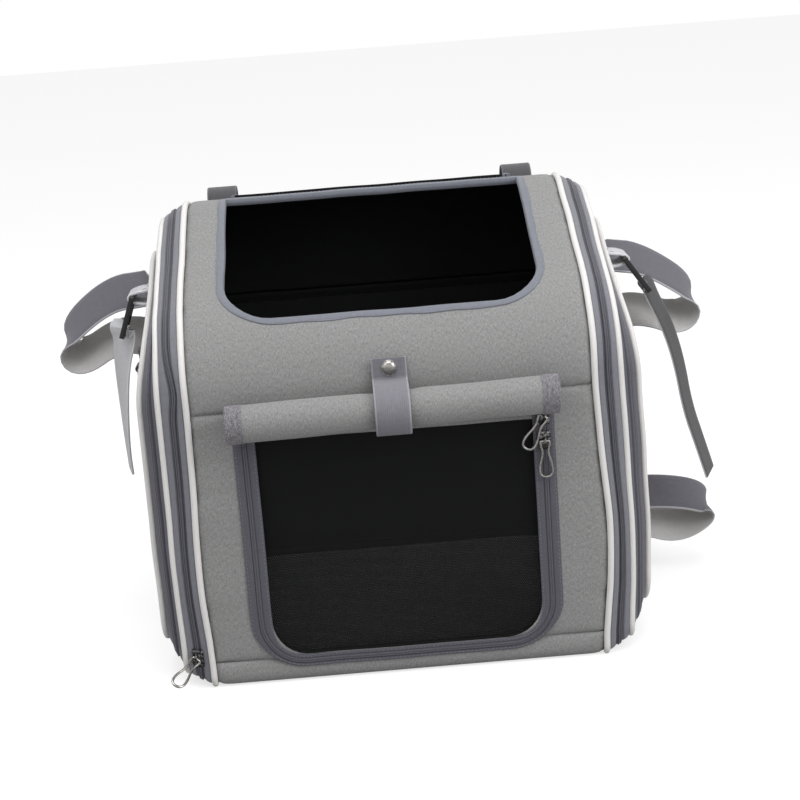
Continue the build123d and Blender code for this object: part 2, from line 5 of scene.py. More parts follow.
import bmesh
import bpy
from mathutils import Matrix, Vector, noise


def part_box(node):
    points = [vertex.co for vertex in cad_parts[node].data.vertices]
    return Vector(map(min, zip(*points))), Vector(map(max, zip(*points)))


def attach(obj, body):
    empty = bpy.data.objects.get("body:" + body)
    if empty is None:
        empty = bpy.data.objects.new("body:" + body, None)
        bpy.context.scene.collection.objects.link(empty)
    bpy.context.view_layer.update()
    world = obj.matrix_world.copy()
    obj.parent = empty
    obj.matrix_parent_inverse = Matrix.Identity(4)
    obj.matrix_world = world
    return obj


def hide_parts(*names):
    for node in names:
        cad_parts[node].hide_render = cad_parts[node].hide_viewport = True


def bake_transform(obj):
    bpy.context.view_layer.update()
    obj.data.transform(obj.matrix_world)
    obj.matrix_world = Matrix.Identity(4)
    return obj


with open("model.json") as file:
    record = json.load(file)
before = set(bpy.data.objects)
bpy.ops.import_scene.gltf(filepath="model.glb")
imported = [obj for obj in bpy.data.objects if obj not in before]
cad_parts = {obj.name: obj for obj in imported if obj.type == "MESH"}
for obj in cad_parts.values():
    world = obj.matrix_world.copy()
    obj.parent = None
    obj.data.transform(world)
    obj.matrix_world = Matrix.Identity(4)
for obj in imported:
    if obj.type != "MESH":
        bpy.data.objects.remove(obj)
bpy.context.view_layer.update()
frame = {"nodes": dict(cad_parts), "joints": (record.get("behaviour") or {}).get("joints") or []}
mm = 0.001

# The view: the basket's front seen from a little above, square to its width, with the
# right side carried slightly higher, from a metre and a quarter away
camera_place = Vector((-21.6, -1378.3, 565.4)) * mm
camera_target = Vector((6.3, -125.0, 215.5)) * mm
camera_roll = radians(-4.33)
camera_lens = 80.31
camera = bpy.data.objects.new("camera", bpy.data.cameras.new("camera"))
camera.data.lens = camera_lens
camera_turn = (camera_target - camera_place).to_track_quat("-Z", "Y").to_matrix().to_4x4()
camera.matrix_world = Matrix.Translation(camera_place) @ camera_turn @ Matrix.Rotation(camera_roll, 4, "Z")
bpy.context.scene.collection.objects.link(camera)
bpy.context.scene.camera = camera
bpy.context.scene.view_settings.view_transform = "Standard"


# The studio: a white room with plain level light, two broad soft lamps in front and one
# above, and a white floor that keeps the basket's shadow
def add_node(tree, kind, inputs=None, **settings):
    """Put a shader node in a tree, with its inputs set to values or linked to sockets."""
    made = tree.nodes.new(f"ShaderNode{kind}")
    for name, value in settings.items():
        setattr(made, name, value)
    for name, value in (inputs or {}).items():
        if isinstance(value, bpy.types.NodeSocket):
            tree.links.new(value, made.inputs[name])
        else:
            made.inputs[name].default_value = value
    return made


def calculate(tree, operation, first, second=0.0):
    """A math node's result."""
    return add_node(tree, "Math", {0: first, 1: second}, operation=operation).outputs[0]


def srgb(text):
    """A colour written as six hex digits, in linear light."""
    levels = [int(text[place:place + 2], 16) / 255 for place in (0, 2, 4)]
    return tuple(c / 12.92 if c <= 0.04045 else ((c + 0.055) / 1.055) ** 2.4 for c in levels) + (1.0,)


world_level = 0.54
studio = bpy.data.worlds.new("studio")
bpy.context.scene.world = studio
studio.use_nodes = True
room = studio.node_tree
room.nodes.clear()
ray = add_node(room, "LightPath").outputs
seen = calculate(room, "MAXIMUM", ray["Is Camera Ray"], ray["Is Transmission Ray"])
seen = calculate(room, "MAXIMUM", seen, ray["Is Glossy Ray"])
room_light = add_node(room, "Background", {"Color": srgb("ffffff"), "Strength": world_level})
room_white = add_node(room, "Background", {"Color": srgb("ffffff"), "Strength": 1.0})
room_mix = add_node(room, "MixShader", {0: seen, 1: room_light.outputs[0], 2: room_white.outputs[0]})
add_node(room, "OutputWorld", {"Surface": room_mix.outputs[0]})

lamps = (
    ("lamp_left", (-1.3, -1.2, 1.7), 1.3, 6.5),
    ("lamp_right", (1.5, -1.2, 1.2), 1.2, 17.0),
    ("lamp_above", (0.0, -0.5, 2.0), 1.4, 19.0),
)
lamp_aim = Vector((0.0, 0.0, 0.17))
for lamp_name, lamp_place, lamp_size, lamp_watts in lamps:
    lamp = bpy.data.objects.new(lamp_name, bpy.data.lights.new(lamp_name, "AREA"))
    lamp.data.size = lamp_size
    lamp.data.energy = lamp_watts
    lamp.matrix_world = (Matrix.Translation(lamp_place)
                         @ (lamp_aim - Vector(lamp_place)).to_track_quat("-Z", "Y").to_matrix().to_4x4())
    bpy.context.scene.collection.objects.link(lamp)

floor_half = 6.0
floor_colour = "b4b4b4"
floor_glow = 0.68
floor_bm = bmesh.new()
bmesh.ops.create_grid(floor_bm, x_segments=1, y_segments=1, size=floor_half)
floor_mesh = bpy.data.meshes.new("floor")
floor_bm.to_mesh(floor_mesh)
floor_finish = bpy.data.materials.new("white_floor")
floor_finish.use_nodes = True
tree = floor_finish.node_tree
tree.nodes.clear()
seen = add_node(tree, "LightPath").outputs["Is Camera Ray"]
matt = add_node(tree, "BsdfDiffuse", {"Color": srgb(floor_colour)})
glow = add_node(tree, "Emission", {"Color": srgb("ffffff"),
                                             "Strength": calculate(tree, "MULTIPLY", seen, floor_glow)})
both = add_node(tree, "AddShader", {0: matt.outputs[0], 1: glow.outputs[0]})
add_node(tree, "OutputMaterial", {"Surface": both.outputs[0]})
floor_mesh.materials.append(floor_finish)
floor = bpy.data.objects.new("floor", floor_mesh)
bpy.context.scene.collection.objects.link(floor)

# The sleeve: one padded strip of grey melange cloth makes the front, top, back and
# bottom. It is sewn from four panels, each foam-backed and lined in black
sleeve_width = 300 * mm
depth = 250 * mm
corner_height = 271.5 * mm
slope = radians(24)
shoulder_radius = 70 * mm
ridge_radius = 72 * mm
hem_radius = 9 * mm
hem_growth = 0.6
shoulder_growth = 1 / 3
padding = 4 * mm
sleeve_half = 147.6 * mm
gusset_reach = 21 * mm
gusset_inset = 8 * mm
dome_reach = 36 * mm
dome_inset = 27 * mm
seam_height = 215 * mm
back_seam_height = 252 * mm
hem_height = 20 * mm
front_y = -depth / 2
back_y = depth / 2


def pointing(heading):
    """A direction in the flat, by its heading."""
    return Vector((cos(heading), sin(heading)))


@lru_cache(maxsize=None)
def outline_legs(inset):
    """The side outline's arcs and straights in turn: start, heading, length, radius."""
    drop = inset / cos(slope)
    front, back = front_y + inset, back_y - inset
    front_top = corner_height + inset * tan(slope) - drop
    back_top = corner_height + (depth - inset) * tan(slope) - drop
    hem = hem_radius + inset * hem_growth
    corners = (
        (Vector((front, inset)), hem, pi / 2),
        (Vector((front, front_top)), shoulder_radius - inset * shoulder_growth, pi / 2 - slope),
        (Vector((back, back_top)), ridge_radius - inset * shoulder_growth, pi / 2 + slope),
        (Vector((back, inset)), hem, pi / 2),
    )
    legs = []
    heading = pi
    for index, (corner, radius, turn) in enumerate(corners):
        tangent = radius * tan(turn / 2)
        legs.append((corner - tangent * pointing(heading), heading, radius * turn, radius))
        heading -= turn
        next_corner, next_radius, next_turn = corners[(index + 1) % len(corners)]
        length = (next_corner - corner).length - tangent - next_radius * tan(next_turn / 2)
        legs.append((corner + tangent * pointing(heading), heading, length, 0))
    return legs


leg_lengths = [leg[2] for leg in outline_legs(0)]
outline_length = sum(leg_lengths)
front_start = leg_lengths[0]
back_start = sum(leg_lengths[:5])


def front_way(height):
    """How far along the outline a height of the front is."""
    return front_start + height - hem_radius


def back_way(height):
    """How far along the outline a height of the back is."""
    return back_start + outline_legs(0)[5][0].y - height


def outline_point(way, inset):
    """The place and outward direction at a distance along the side outline."""
    way %= outline_length
    for length, leg in zip(leg_lengths, outline_legs(inset)):
        if way <= length:
            break
        way -= length
    start, heading, leg_length, radius = leg
    along = min(way / length, 1) * leg_length
    if not radius:
        return start + along * pointing(heading), Vector((-sin(heading), cos(heading)))
    centre = start + radius * Vector((sin(heading), -cos(heading)))
    turned = heading - along / radius
    out = Vector((-sin(turned), cos(turned)))
    return centre + radius * out, out


def inset_at(out):
    """How far in the side's surface lies, at a distance from the middle, and its slope there."""
    past = max(abs(out) - sleeve_width / 2, 0)
    if past <= 0:
        return 0.0, 0.0
    if past <= gusset_reach:
        return past * gusset_inset / gusset_reach, gusset_inset / gusset_reach
    steep = (dome_inset - gusset_inset) / (dome_reach - gusset_reach)
    return gusset_inset + (past - gusset_reach) * steep, steep


def skin_point(x, way, lift=0.0):
    """A place on the basket's skin, raised off it."""
    inset, steep = inset_at(x)
    (y, z), out = outline_point(way, inset)
    lean = atan2(steep, 1)
    side = 1 if x > 0 else -1
    return Vector((x, y, z)) + lift * Vector((side * sin(lean), out.x * cos(lean), out.y * cos(lean)))


def smooth_step(value, low, high):
    """A smooth rise from 0 to 1 between two values."""
    share = min(max((value - low) / (high - low), 0), 1)
    return share * share * (3 - 2 * share)


def hump(value, low, peak, high):
    """A smooth rise from a low value to a peak, and back down at a high one."""
    return smooth_step(value, low, peak) * (1 - smooth_step(value, peak, high))


# The cloth's settling: the right front edge swells below the seam, the left one less,
# the left gusset waves beside the seam, the front panel bellies a little, and the domed
# sides are drawn in at their tops
right_swell = 6.0 * mm
left_swell = 2.5 * mm
gusset_wave = 3.0 * mm
belly = 3.0 * mm
side_draw = 9.0 * mm
rumple = 0.7 * mm
rumple_scale = 24.0


def drawn_in(height):
    """How far the sides' outer bands and panels lean in at a height."""
    return side_draw * smooth_step(height, 212 * mm, 292 * mm)


def settled(point):
    """Where a place on the sewn shape lies once the cloth has settled."""
    x, y, z = point
    out = abs(x)
    frontal = 1 - smooth_step(y, front_y + 20 * mm, 40 * mm)
    edge = smooth_step(out, 118 * mm, 148 * mm) * (1 - 0.55 * smooth_step(out, 150 * mm, 172 * mm))
    swell = right_swell if x > 0 else left_swell
    move = Vector((0, 0, 0))
    move.x = (swell if x > 0 else -swell) * edge * frontal * hump(z, 0, 95 * mm, 215 * mm)
    wave = hump(out, 153 * mm, 160 * mm, 170 * mm) * frontal * hump(z, 205 * mm, 235 * mm, 300 * mm)
    if x < 0:
        move.x += gusset_wave * wave * sin((z - 205 * mm) / (15 * mm))
    low_front = 1 - smooth_step(y, front_y + 2 * mm, front_y + 30 * mm)
    inward = 1 - smooth_step(out, 60 * mm, 148 * mm) * 0.6
    move.y = -belly * low_front * hump(z, 10 * mm, 80 * mm, 190 * mm) * inward
    calm = (1 - hump(x, 92 * mm, 110 * mm, 128 * mm) * low_front) * smooth_step(z, 0, 30 * mm)
    move.x -= (1 if x > 0 else -1) * drawn_in(z) * smooth_step(out, 164 * mm, 186 * mm)
    rough = noise.noise_vector(point * rumple_scale)
    return point + move * calm + rough * rumple * calm


def settle(bm):
    """Settle every vertex of a mesh of the body's cloth."""
    for vertex in bm.verts:
        vertex.co = settled(vertex.co)


def cloth_grid(x_start, x_stop, way_start, way_stop, cell, lift=lambda x, way: 0.0):
    """A grid of cloth laid on the skin, with its flat places in metres as its UV map."""
    bm = bmesh.new()
    columns = max(1, ceil((x_stop - x_start) / cell[0]))
    rows = max(1, ceil((way_stop - way_start) / cell[1]))
    bmesh.ops.create_grid(bm, x_segments=columns, y_segments=rows, size=0.5)
    flat = bm.loops.layers.uv.new("cloth")
    place = {}
    for vertex in bm.verts:
        x = x_start + (vertex.co.x + 0.5) * (x_stop - x_start)
        way = way_start + (vertex.co.y + 0.5) * (way_stop - way_start)
        place[vertex] = (x, way)
        vertex.co = skin_point(x, way, lift(x, way))
    for face in bm.faces:
        for loop in face.loops:
            loop[flat].uv = place[loop.vert]
    return bm


def cut_inside(bm, faces, corners, flatten, lift_back):
    """Cut a convex outline's edges into the faces and return the faces inside it."""
    inside = set(faces)
    for first, second in zip(corners, corners[1:] + corners[:1]):
        along = (second - first).normalized()
        outward = Vector((along.y, -along.x))
        geometry = list(inside | {e for f in inside for e in f.edges} | {v for f in inside for v in f.verts})
        cut = bmesh.ops.bisect_plane(bm, geom=geometry, dist=1e-6, plane_co=lift_back(first),
                                     plane_no=lift_back(outward))
        found = {f for f in cut["geom"] if isinstance(f, bmesh.types.BMFace)}
        found |= {f for f in inside if f.is_valid}
        inside = {f for f in found if (flatten(f.calc_center_median()) - first).dot(outward) < 0}
    return inside


def rounded_corners(low, high, radii, steps=8):
    """A rounded rectangle's corners, counterclockwise from the lower left, as a convex outline."""
    spots = (((low.x, low.y), pi), ((high.x, low.y), -pi / 2),
             ((high.x, high.y), 0), ((low.x, high.y), pi / 2))
    found = []
    for ((u, v), angle), radius in zip(spots, radii):
        if not radius:
            found.append(Vector((u, v)))
            continue
        centre = Vector((u + (radius if u == low.x else -radius), v + (radius if v == low.y else -radius)))
        for step in range(steps + 1):
            found.append(centre + radius * pointing(angle + step * pi / 2 / steps))
    return found


def in_elevation(point):
    """A place or direction seen from the front."""
    return Vector((point.x, point.z))


def from_elevation(spot):
    """A place or direction of the front view, in space."""
    return Vector((spot.x, 0, spot.y))


def in_plan(point):
    """A place or direction seen from above."""
    return Vector((point.x, point.y))


def from_plan(spot):
    """A place or direction of the plan, in space."""
    return Vector((spot.x, spot.y, 0))


def add_group(name, sizes, outputs):
    """A shader node group that takes a place and named sizes, and gives named values."""
    group = bpy.data.node_groups.new(name, "ShaderNodeTree")
    sockets = group.interface
    sockets.new_socket("Vector", in_out="INPUT", socket_type="NodeSocketVector")
    for size_name, size in sizes.items():
        sockets.new_socket(size_name, in_out="INPUT", socket_type="NodeSocketFloat").default_value = size
    for output in outputs:
        sockets.new_socket(output, in_out="OUTPUT", socket_type="NodeSocketFloat")
    return group, group.nodes.new("NodeGroupInput").outputs, group.nodes.new("NodeGroupOutput").inputs


def axes_of(tree, place):
    """A place's distances along X, Y and Z."""
    return add_node(tree, "SeparateXYZ", {0: place}).outputs


def arches(tree, value, pitch):
    """A row of arches that rise from 0 to 1 and back over each pitch."""
    turns = calculate(tree, "MULTIPLY", calculate(tree, "DIVIDE", value, pitch), pi)
    return calculate(tree, "ABSOLUTE", calculate(tree, "SINE", turns))


def add_share(tree, base, value, share):
    """A base with a share of a value added."""
    return calculate(tree, "ADD", base, calculate(tree, "MULTIPLY", value, share))


# Threads crossing over and under each other, as a height
weave_group, given, result = add_group("plain_weave", {"Pitch": 0.5 * mm}, ("Height",))
pitch = given["Pitch"]
axes = axes_of(weave_group, given["Vector"])[:2]
counts = [calculate(weave_group, "FLOOR", calculate(weave_group, "DIVIDE", axis, pitch)) for axis in axes]
over = calculate(weave_group, "PINGPONG", calculate(weave_group, "ADD", *counts), 1.0)
warp, weft = (arches(weave_group, axis, pitch) for axis in axes)
crossing = add_node(weave_group, "Mix", {0: over, 2: warp, 3: weft})
weave_group.links.new(crossing.outputs[0], result["Height"])

# Melange yarn: light and dark fibres drawn along the warp and, less, along the weft, with
# broad soft clouds where the dye took differently
melange_group, given, result = add_group("melange", {"Fibre": 1.0}, ("Shade", "Cloud"))
fibres = (((1, 0.22, 1), 2300, 2.0, 0.45), ((0.3, 1, 1), 2000, 2.0, 0.25), ((1, 0.5, 1), 640, 3.0, 0.3))
shade = 0.0
for stretch, scale, detail, share in fibres:
    drawn = add_node(melange_group, "VectorMath", {0: given["Vector"], 1: stretch}, operation="MULTIPLY")
    size = calculate(melange_group, "MULTIPLY", given["Fibre"], scale)
    speck = add_node(melange_group, "TexNoise",
                     {"Vector": drawn.outputs[0], "Scale": size, "Detail": detail, "Roughness": 0.65})
    shade = add_share(melange_group, shade, speck.outputs[0], share)
melange_group.links.new(shade, result["Shade"])
cloud = add_node(melange_group, "TexNoise", {"Vector": given["Vector"], "Scale": 22.0, "Detail": 3.0})
melange_group.links.new(cloud.outputs[0], result["Cloud"])


def add_material(name, roughness, metallic=0.0, sheen=0.0):
    """A material with its tree and its Principled shader's inputs."""
    material = bpy.data.materials.new(name)
    material.use_nodes = True
    tree = material.node_tree
    shader = tree.nodes["Principled BSDF"].inputs
    shader["Roughness"].default_value = roughness
    shader["Metallic"].default_value = metallic
    shader["Sheen Weight"].default_value = sheen
    return material, tree, shader


def place_group(tree, group, inputs):
    """A group's outputs, placed in a material."""
    return add_node(tree, "Group", inputs, node_tree=group).outputs


def on_cloth(tree):
    """The flat place on a cloth, in metres."""
    return add_node(tree, "UVMap", uv_map="cloth").outputs[0]


def blend_colours(tree, factor, low, high):
    """A colour between two, each written in hex digits or a socket, by a factor."""
    low, high = (srgb(colour) if isinstance(colour, str) else colour for colour in (low, high))
    return add_node(tree, "Mix", {"Factor": factor, 6: low, 7: high}, data_type="RGBA").outputs[2]


def tint(tree, shader, factor, low, high):
    """Colour a material between two colours, by a factor."""
    tree.links.new(blend_colours(tree, factor, low, high), shader["Base Color"])


def add_bump(tree, shader, height, distance, strength=1.0):
    """Feed a height to the shader's normal."""
    bump = add_node(tree, "Bump", {"Height": height, "Distance": distance, "Strength": strength})
    tree.links.new(bump.outputs[0], shader["Normal"])


weave_pitch = 0.55 * mm
lining_pitch = 0.8 * mm
body_cloth, tree, shader = add_material("grey_melange", 0.86, sheen=0.12)
flat_place = on_cloth(tree)
yarn = place_group(tree, melange_group, {"Vector": flat_place})
threads = place_group(tree, weave_group, {"Vector": flat_place, "Pitch": weave_pitch})[0]
tone = add_node(tree, "MapRange", {"Value": yarn["Shade"], 1: 0.36, 2: 0.64}).outputs[0]
speckled = blend_colours(tree, tone, "676767", "a9a9a9")
tint(tree, shader, calculate(tree, "MULTIPLY", yarn["Cloud"], 0.35), speckled, "8a8987")
add_bump(tree, shader, add_share(tree, threads, yarn["Shade"], 1.5), 0.12 * mm, 0.6)

lining, tree, shader = add_material("black_lining", 0.9)
shader["Specular IOR Level"].default_value = 0.2
threads = place_group(tree, weave_group, {"Vector": on_cloth(tree), "Pitch": lining_pitch})[0]
tint(tree, shader, threads, "070808", "101112")
add_bump(tree, shader, threads, 0.1 * mm)


def place_piece(name, bm, finishes, slot, body, *nodes, crease=radians(38)):
    """Make an object of a mesh, riding on its body and standing for its nodes."""
    mesh = bpy.data.meshes.new(name)
    bm.normal_update()
    bm.to_mesh(mesh)
    bm.free()
    mesh.shade_smooth()
    mesh.set_sharp_from_angle(angle=crease)
    for finish in finishes:
        mesh.materials.append(finish)
    made = bpy.data.objects.new(name, mesh)
    bpy.context.scene.collection.objects.link(made)
    if body:
        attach(made, body)
    if nodes:
        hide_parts(*nodes)
    return made


def thicken(made, thickness, inner=0, rim=0):
    """Give a cloth its thickness, inwards, with its lining inside."""
    wall = made.modifiers.new("thickness", "SOLIDIFY")
    wall.thickness = thickness
    wall.offset = -1
    wall.use_even_offset = False
    wall.material_offset = inner
    wall.material_offset_rim = rim


cloth_cell = (3.6 * mm, 3.2 * mm)
seam_draw = 2.3 * mm
seam_reach = 3.0 * mm
pucker = 1.3 * mm
pucker_reach = 11 * mm
pucker_scale = (18, 85)


def sewn_panel(way_start, way_stop):
    """A panel across the sleeve, drawn in along its seams."""
    def lift(x, way):
        beside = max(sleeve_half - abs(x), 0)
        near = max(min(beside, way - way_start, way_stop - way), 0)
        gather = noise.noise(Vector((x * pucker_scale[0], way * pucker_scale[1], 0)))
        return pucker * gather * exp(-beside / pucker_reach) - seam_draw * exp(-near / seam_reach)
    return cloth_grid(-sleeve_half, sleeve_half, way_start, way_stop, cloth_cell, lift)


def opened(bm, corners, flatten, lift_back, wanted=lambda spot: True):
    """Cut an opening into a panel, in the faces that are wanted."""
    faces = [face for face in bm.faces if wanted(face.calc_center_median())]
    hole = cut_inside(bm, faces, corners, flatten, lift_back)
    bmesh.ops.delete(bm, geom=list(hole), context="FACES")


window_width = 204 * mm
window_bottom = 22 * mm
window_top = 193 * mm
window_corner = 28 * mm
window_edge = rounded_corners(
    Vector((-window_width / 2, window_bottom)), Vector((window_width / 2, window_top)),
    (window_corner, window_corner, 0, 0))
hatch_width = 236 * mm
hatch_front = front_y + 23 * mm
hatch_back = front_y + 176 * mm
hatch_corner = 35 * mm
hatch_edge = rounded_corners(Vector((-hatch_width / 2, hatch_front)), Vector((hatch_width / 2, hatch_back)),
                             (hatch_corner, hatch_corner, 0, 0))

hem_front, hem_back = front_way(hem_height), back_way(hem_height)
sleeve_panels = (
    ("front_panel", hem_front, front_way(seam_height)),
    ("top_panel", front_way(seam_height), back_way(back_seam_height)),
    ("back_panel", back_way(back_seam_height), hem_back),
    ("bottom_panel", hem_back, outline_length + hem_front),
)
for panel_name, way_start, way_stop in sleeve_panels:
    bm = sewn_panel(way_start, way_stop)
    cut_area = 2 * sleeve_half * (way_stop - way_start)
    if panel_name == "front_panel":
        opened(bm, window_edge, in_elevation, from_elevation)
        cut_area -= window_width * (window_top - window_bottom)
    if panel_name == "top_panel":
        opened(bm, hatch_edge, in_plan, from_plan, lambda spot: spot.z > corner_height - shoulder_radius)
        cut_area -= hatch_width * (hatch_back - hatch_front) / cos(slope)
    settle(bm)
    panel = place_piece(f"{panel_name}_cloth", bm, (body_cloth, lining), "body_cloth", "basket", panel_name)
    thicken(panel, padding, inner=1, rim=1)


# The binding round the top opening: blue-grey tape folded over the cut edge and sewn
# through, a little slack at the front corners
def way_at_depth(y):
    """How far along the outline a depth of the top is."""
    low, high = front_start, back_start
    for _ in range(40):
        middle = (low + high) / 2
        low, high = (middle, high) if outline_point(middle, 0)[0].x < y else (low, middle)
    return low


def walked(spots, step):
    """An outline's points with more between them about a step apart, without its last."""
    found = []
    for first, second in zip(spots, spots[1:]):
        pieces = max(1, round((second - first).length / step))
        found += [first.lerp(second, part / pieces) for part in range(pieces)]
    return found


def edge_stations(points, raised, closed=False):
    """Each place of a path with its across and raised directions and its distance along."""
    raised = [raised] * len(points) if isinstance(raised, Vector) else raised
    found = []
    distance = 0.0
    last = len(points) - 1
    for index, point in enumerate(points):
        before = points[index - 1] if index else (points[-2] if closed else point)
        after = points[index + 1] if index < last else (points[1] if closed else point)
        ahead = (after - before).normalized()
        up = (raised[index] - raised[index].dot(ahead) * ahead).normalized()
        if index:
            distance += (point - points[index - 1]).length
        found.append((point, ahead.cross(up), up, distance))
    return found


def sweep(stations, section, closed_way=False, closed_section=True, from_edge=0.0, under=0, bm=None):
    """Lay a section, a list of places across and up, along stations, and close its ends."""
    bm = bmesh.new() if bm is None else bm
    flat = bm.loops.layers.uv.get("cloth") or bm.loops.layers.uv.new("cloth")
    rows = len(stations) - 1
    shape = section if callable(section) else lambda share: section
    sections = [shape(row / rows) for row in range(rows + 1)]
    columns = len(sections[0]) - 1
    made = bmesh.ops.create_grid(bm, x_segments=columns, y_segments=rows, size=0.5)["verts"]
    place, level = {}, {}
    for vertex in made:
        column = round((vertex.co.x + 0.5) * columns)
        row = round((vertex.co.y + 0.5) * rows)
        point, sideways, up, distance = stations[row]
        u, v = sections[row][column]
        girth = sum(hypot(b[0] - a[0], b[1] - a[1])
                    for a, b in zip(sections[row][:column], sections[row][1:column + 1]))
        place[vertex] = (from_edge - abs(u) if from_edge else girth, distance)
        level[vertex] = v
        vertex.co = point + u * sideways + v * up
    for face in {face for vertex in made for face in vertex.link_faces}:
        for loop in face.loops:
            loop[flat].uv = place[loop.vert]
        if under and sum(level[vertex] for vertex in face.verts) < 0:
            face.material_index = under
    if closed_section or closed_way:
        bmesh.ops.remove_doubles(bm, verts=made, dist=1e-6)
    if closed_section and not closed_way:
        bmesh.ops.holes_fill(bm, edges=[edge for edge in bm.edges if edge.is_boundary])
    if closed_section:
        bmesh.ops.recalc_face_normals(bm, faces=bm.faces)
    return bm


# Ribs across a tape and the finer threads along it, as a height, and where it has worn
ribs_group, given, result = add_group("tape_ribs", {"Rib": 1.0 * mm, "Thread": 0.5 * mm}, ("Height", "Wear"))
axes = axes_of(ribs_group, given["Vector"])
rib, thread = arches(ribs_group, axes[1], given["Rib"]), arches(ribs_group, axes[0], given["Thread"])
ribs_group.links.new(add_share(ribs_group, rib, thread, 0.5), result["Height"])
worn = add_node(ribs_group, "TexNoise", {"Vector": given["Vector"], "Scale": 260.0, "Detail": 4.0})
ribs_group.links.new(worn.outputs[0], result["Wear"])
selvedge_width = 1.3 * mm
tape_roughness = 0.62
tape_sheen = 0.25


def tape_material(name, dark, light, rib, thread, depth_of_rib, selvedge=None):
    """A ribbed tape, or webbing with a selvedge of its own colour."""
    material, tree, shader = add_material(name, tape_roughness, sheen=tape_sheen)
    flat_place = on_cloth(tree)
    ribs = place_group(tree, ribs_group, {"Vector": flat_place, "Rib": rib, "Thread": thread})
    shade = calculate(tree, "MULTIPLY", ribs["Height"], 0.45)
    colour = blend_colours(tree, add_share(tree, shade, ribs["Wear"], 0.45), dark, light)
    if selvedge:
        edge = calculate(tree, "LESS_THAN", axes_of(tree, flat_place)[0], selvedge_width)
        colour = blend_colours(tree, edge, colour, selvedge)
    tree.links.new(colour, shader["Base Color"])
    add_bump(tree, shader, ribs["Height"], depth_of_rib)
    return material


binding_cloth = tape_material("blue_grey_binding", "52565f", "7f838d", 0.7 * mm, 0.45 * mm, 0.08 * mm)
binding_width = 5.2 * mm
binding_proud = 1.0 * mm
binding_ripple = 0.7 * mm
hatch_step = 3 * mm
hatch_line, hatch_raised = [], []
for spot in walked(hatch_edge + hatch_edge[:1], hatch_step):
    (y, z), out = outline_point(way_at_depth(spot.y), 0)
    hatch_line.append(settled(Vector((spot.x, y, z))))
    hatch_raised.append(Vector((0, out.x, out.y)))
hatch_stations = edge_stations(hatch_line + hatch_line[:1], hatch_raised + hatch_raised[:1], True)


def binding_section(share):
    """The folded tape: over the cloth, round its cut edge and back beneath it."""
    wide = binding_width + binding_ripple * sin(share * 90) * sin(share * 37)
    over_cloth, under = binding_proud, -padding - 0.6 * mm
    return [(wide, -0.2 * mm), (wide - 0.4 * mm, over_cloth * 0.8), (wide * 0.6, over_cloth),
            (wide * 0.2, over_cloth + 0.2 * mm), (-0.6 * mm, over_cloth * 0.7), (-1.3 * mm, -padding * 0.3),
            (-1.2 * mm, -padding * 0.75), (-0.3 * mm, under), (wide * 0.5, under - 0.2 * mm),
            (wide, under), (wide, under + 0.6 * mm), (0.4 * mm, -padding * 0.7), (0.2 * mm, -padding * 0.3),
            (wide - 0.6 * mm, -0.4 * mm), (wide, -0.2 * mm)]


bm = sweep(hatch_stations, binding_section, closed_way=True)
place_piece("opening_binding", bm, (binding_cloth,), "band_cloth", "basket", "top_binding")

# The front window: black polyester net behind the opening, sewn in under the zip's tape
mesh_overlap = 9 * mm
mesh_foot = 5 * mm
net_back = front_y + padding
net_thickness = 0.8 * mm
net_pitch = 1.5 * mm
net_hole = 0.36
net_sag = 2.0 * mm
net_cell = 7 * mm
hexagon = 3 ** 0.5
net_group, given, result = add_group("net_holes", {"Pitch": net_pitch, "Hole": net_hole}, ("Thread",))
spread = add_node(net_group, "VectorMath", {0: given["Vector"], 1: (1, 1 / hexagon, 1)}, operation="MULTIPLY")
axes = axes_of(net_group, spread.outputs[0])
from_holes = []
for shift in (0.0, 0.5):
    squares = []
    for axis, stretch in zip(axes[:2], (1.0, hexagon)):
        step = calculate(net_group, "ADD", calculate(net_group, "DIVIDE", axis, given["Pitch"]), shift)
        off = calculate(net_group, "SUBTRACT", calculate(net_group, "FRACT", step), 0.5)
        squares.append(calculate(net_group, "POWER", calculate(net_group, "MULTIPLY", off, stretch), 2.0))
    from_holes.append(calculate(net_group, "SQRT", calculate(net_group, "ADD", *squares)))
nearest = calculate(net_group, "MINIMUM", *from_holes)
net_group.links.new(calculate(net_group, "GREATER_THAN", nearest, given["Hole"]), result["Thread"])

net_finish, tree, shader = add_material("black_net", 0.7)
shader["Specular IOR Level"].default_value = 0.25
flat_place = on_cloth(tree)
tree.links.new(place_group(tree, net_group, {"Vector": flat_place})[0], shader["Alpha"])
glint = add_node(tree, "TexNoise", {"Vector": flat_place, "Scale": 700.0}).outputs[0]
tint(tree, shader, glint, "060607", "121315")


def reach_of(corners):
    """The lowest and highest corner of an outline."""
    return (Vector((min(c.x for c in corners), min(c.y for c in corners))),
            Vector((max(c.x for c in corners), max(c.y for c in corners))))


def cut_cloth(corners, cell):
    """A grid of cloth cut to an outline, lying flat, with its places as its UV map."""
    low, high = reach_of(corners)
    bm = bmesh.new()
    flat = bm.loops.layers.uv.new("cloth")
    columns, rows = ceil((high.x - low.x) / cell), ceil((high.y - low.y) / cell)
    bmesh.ops.create_grid(bm, x_segments=columns, y_segments=rows, size=0.5)
    for vertex in bm.verts:
        vertex.co = Vector((low.x + (vertex.co.x + 0.5) * (high.x - low.x),
                            low.y + (vertex.co.y + 0.5) * (high.y - low.y), 0))
    kept = cut_inside(bm, bm.faces, corners, in_plan, from_plan)
    bmesh.ops.delete(bm, geom=[face for face in bm.faces if face not in kept], context="FACES")
    for face in bm.faces:
        for loop in face.loops:
            loop[flat].uv = (loop.vert.co.x, loop.vert.co.y)
    return bm


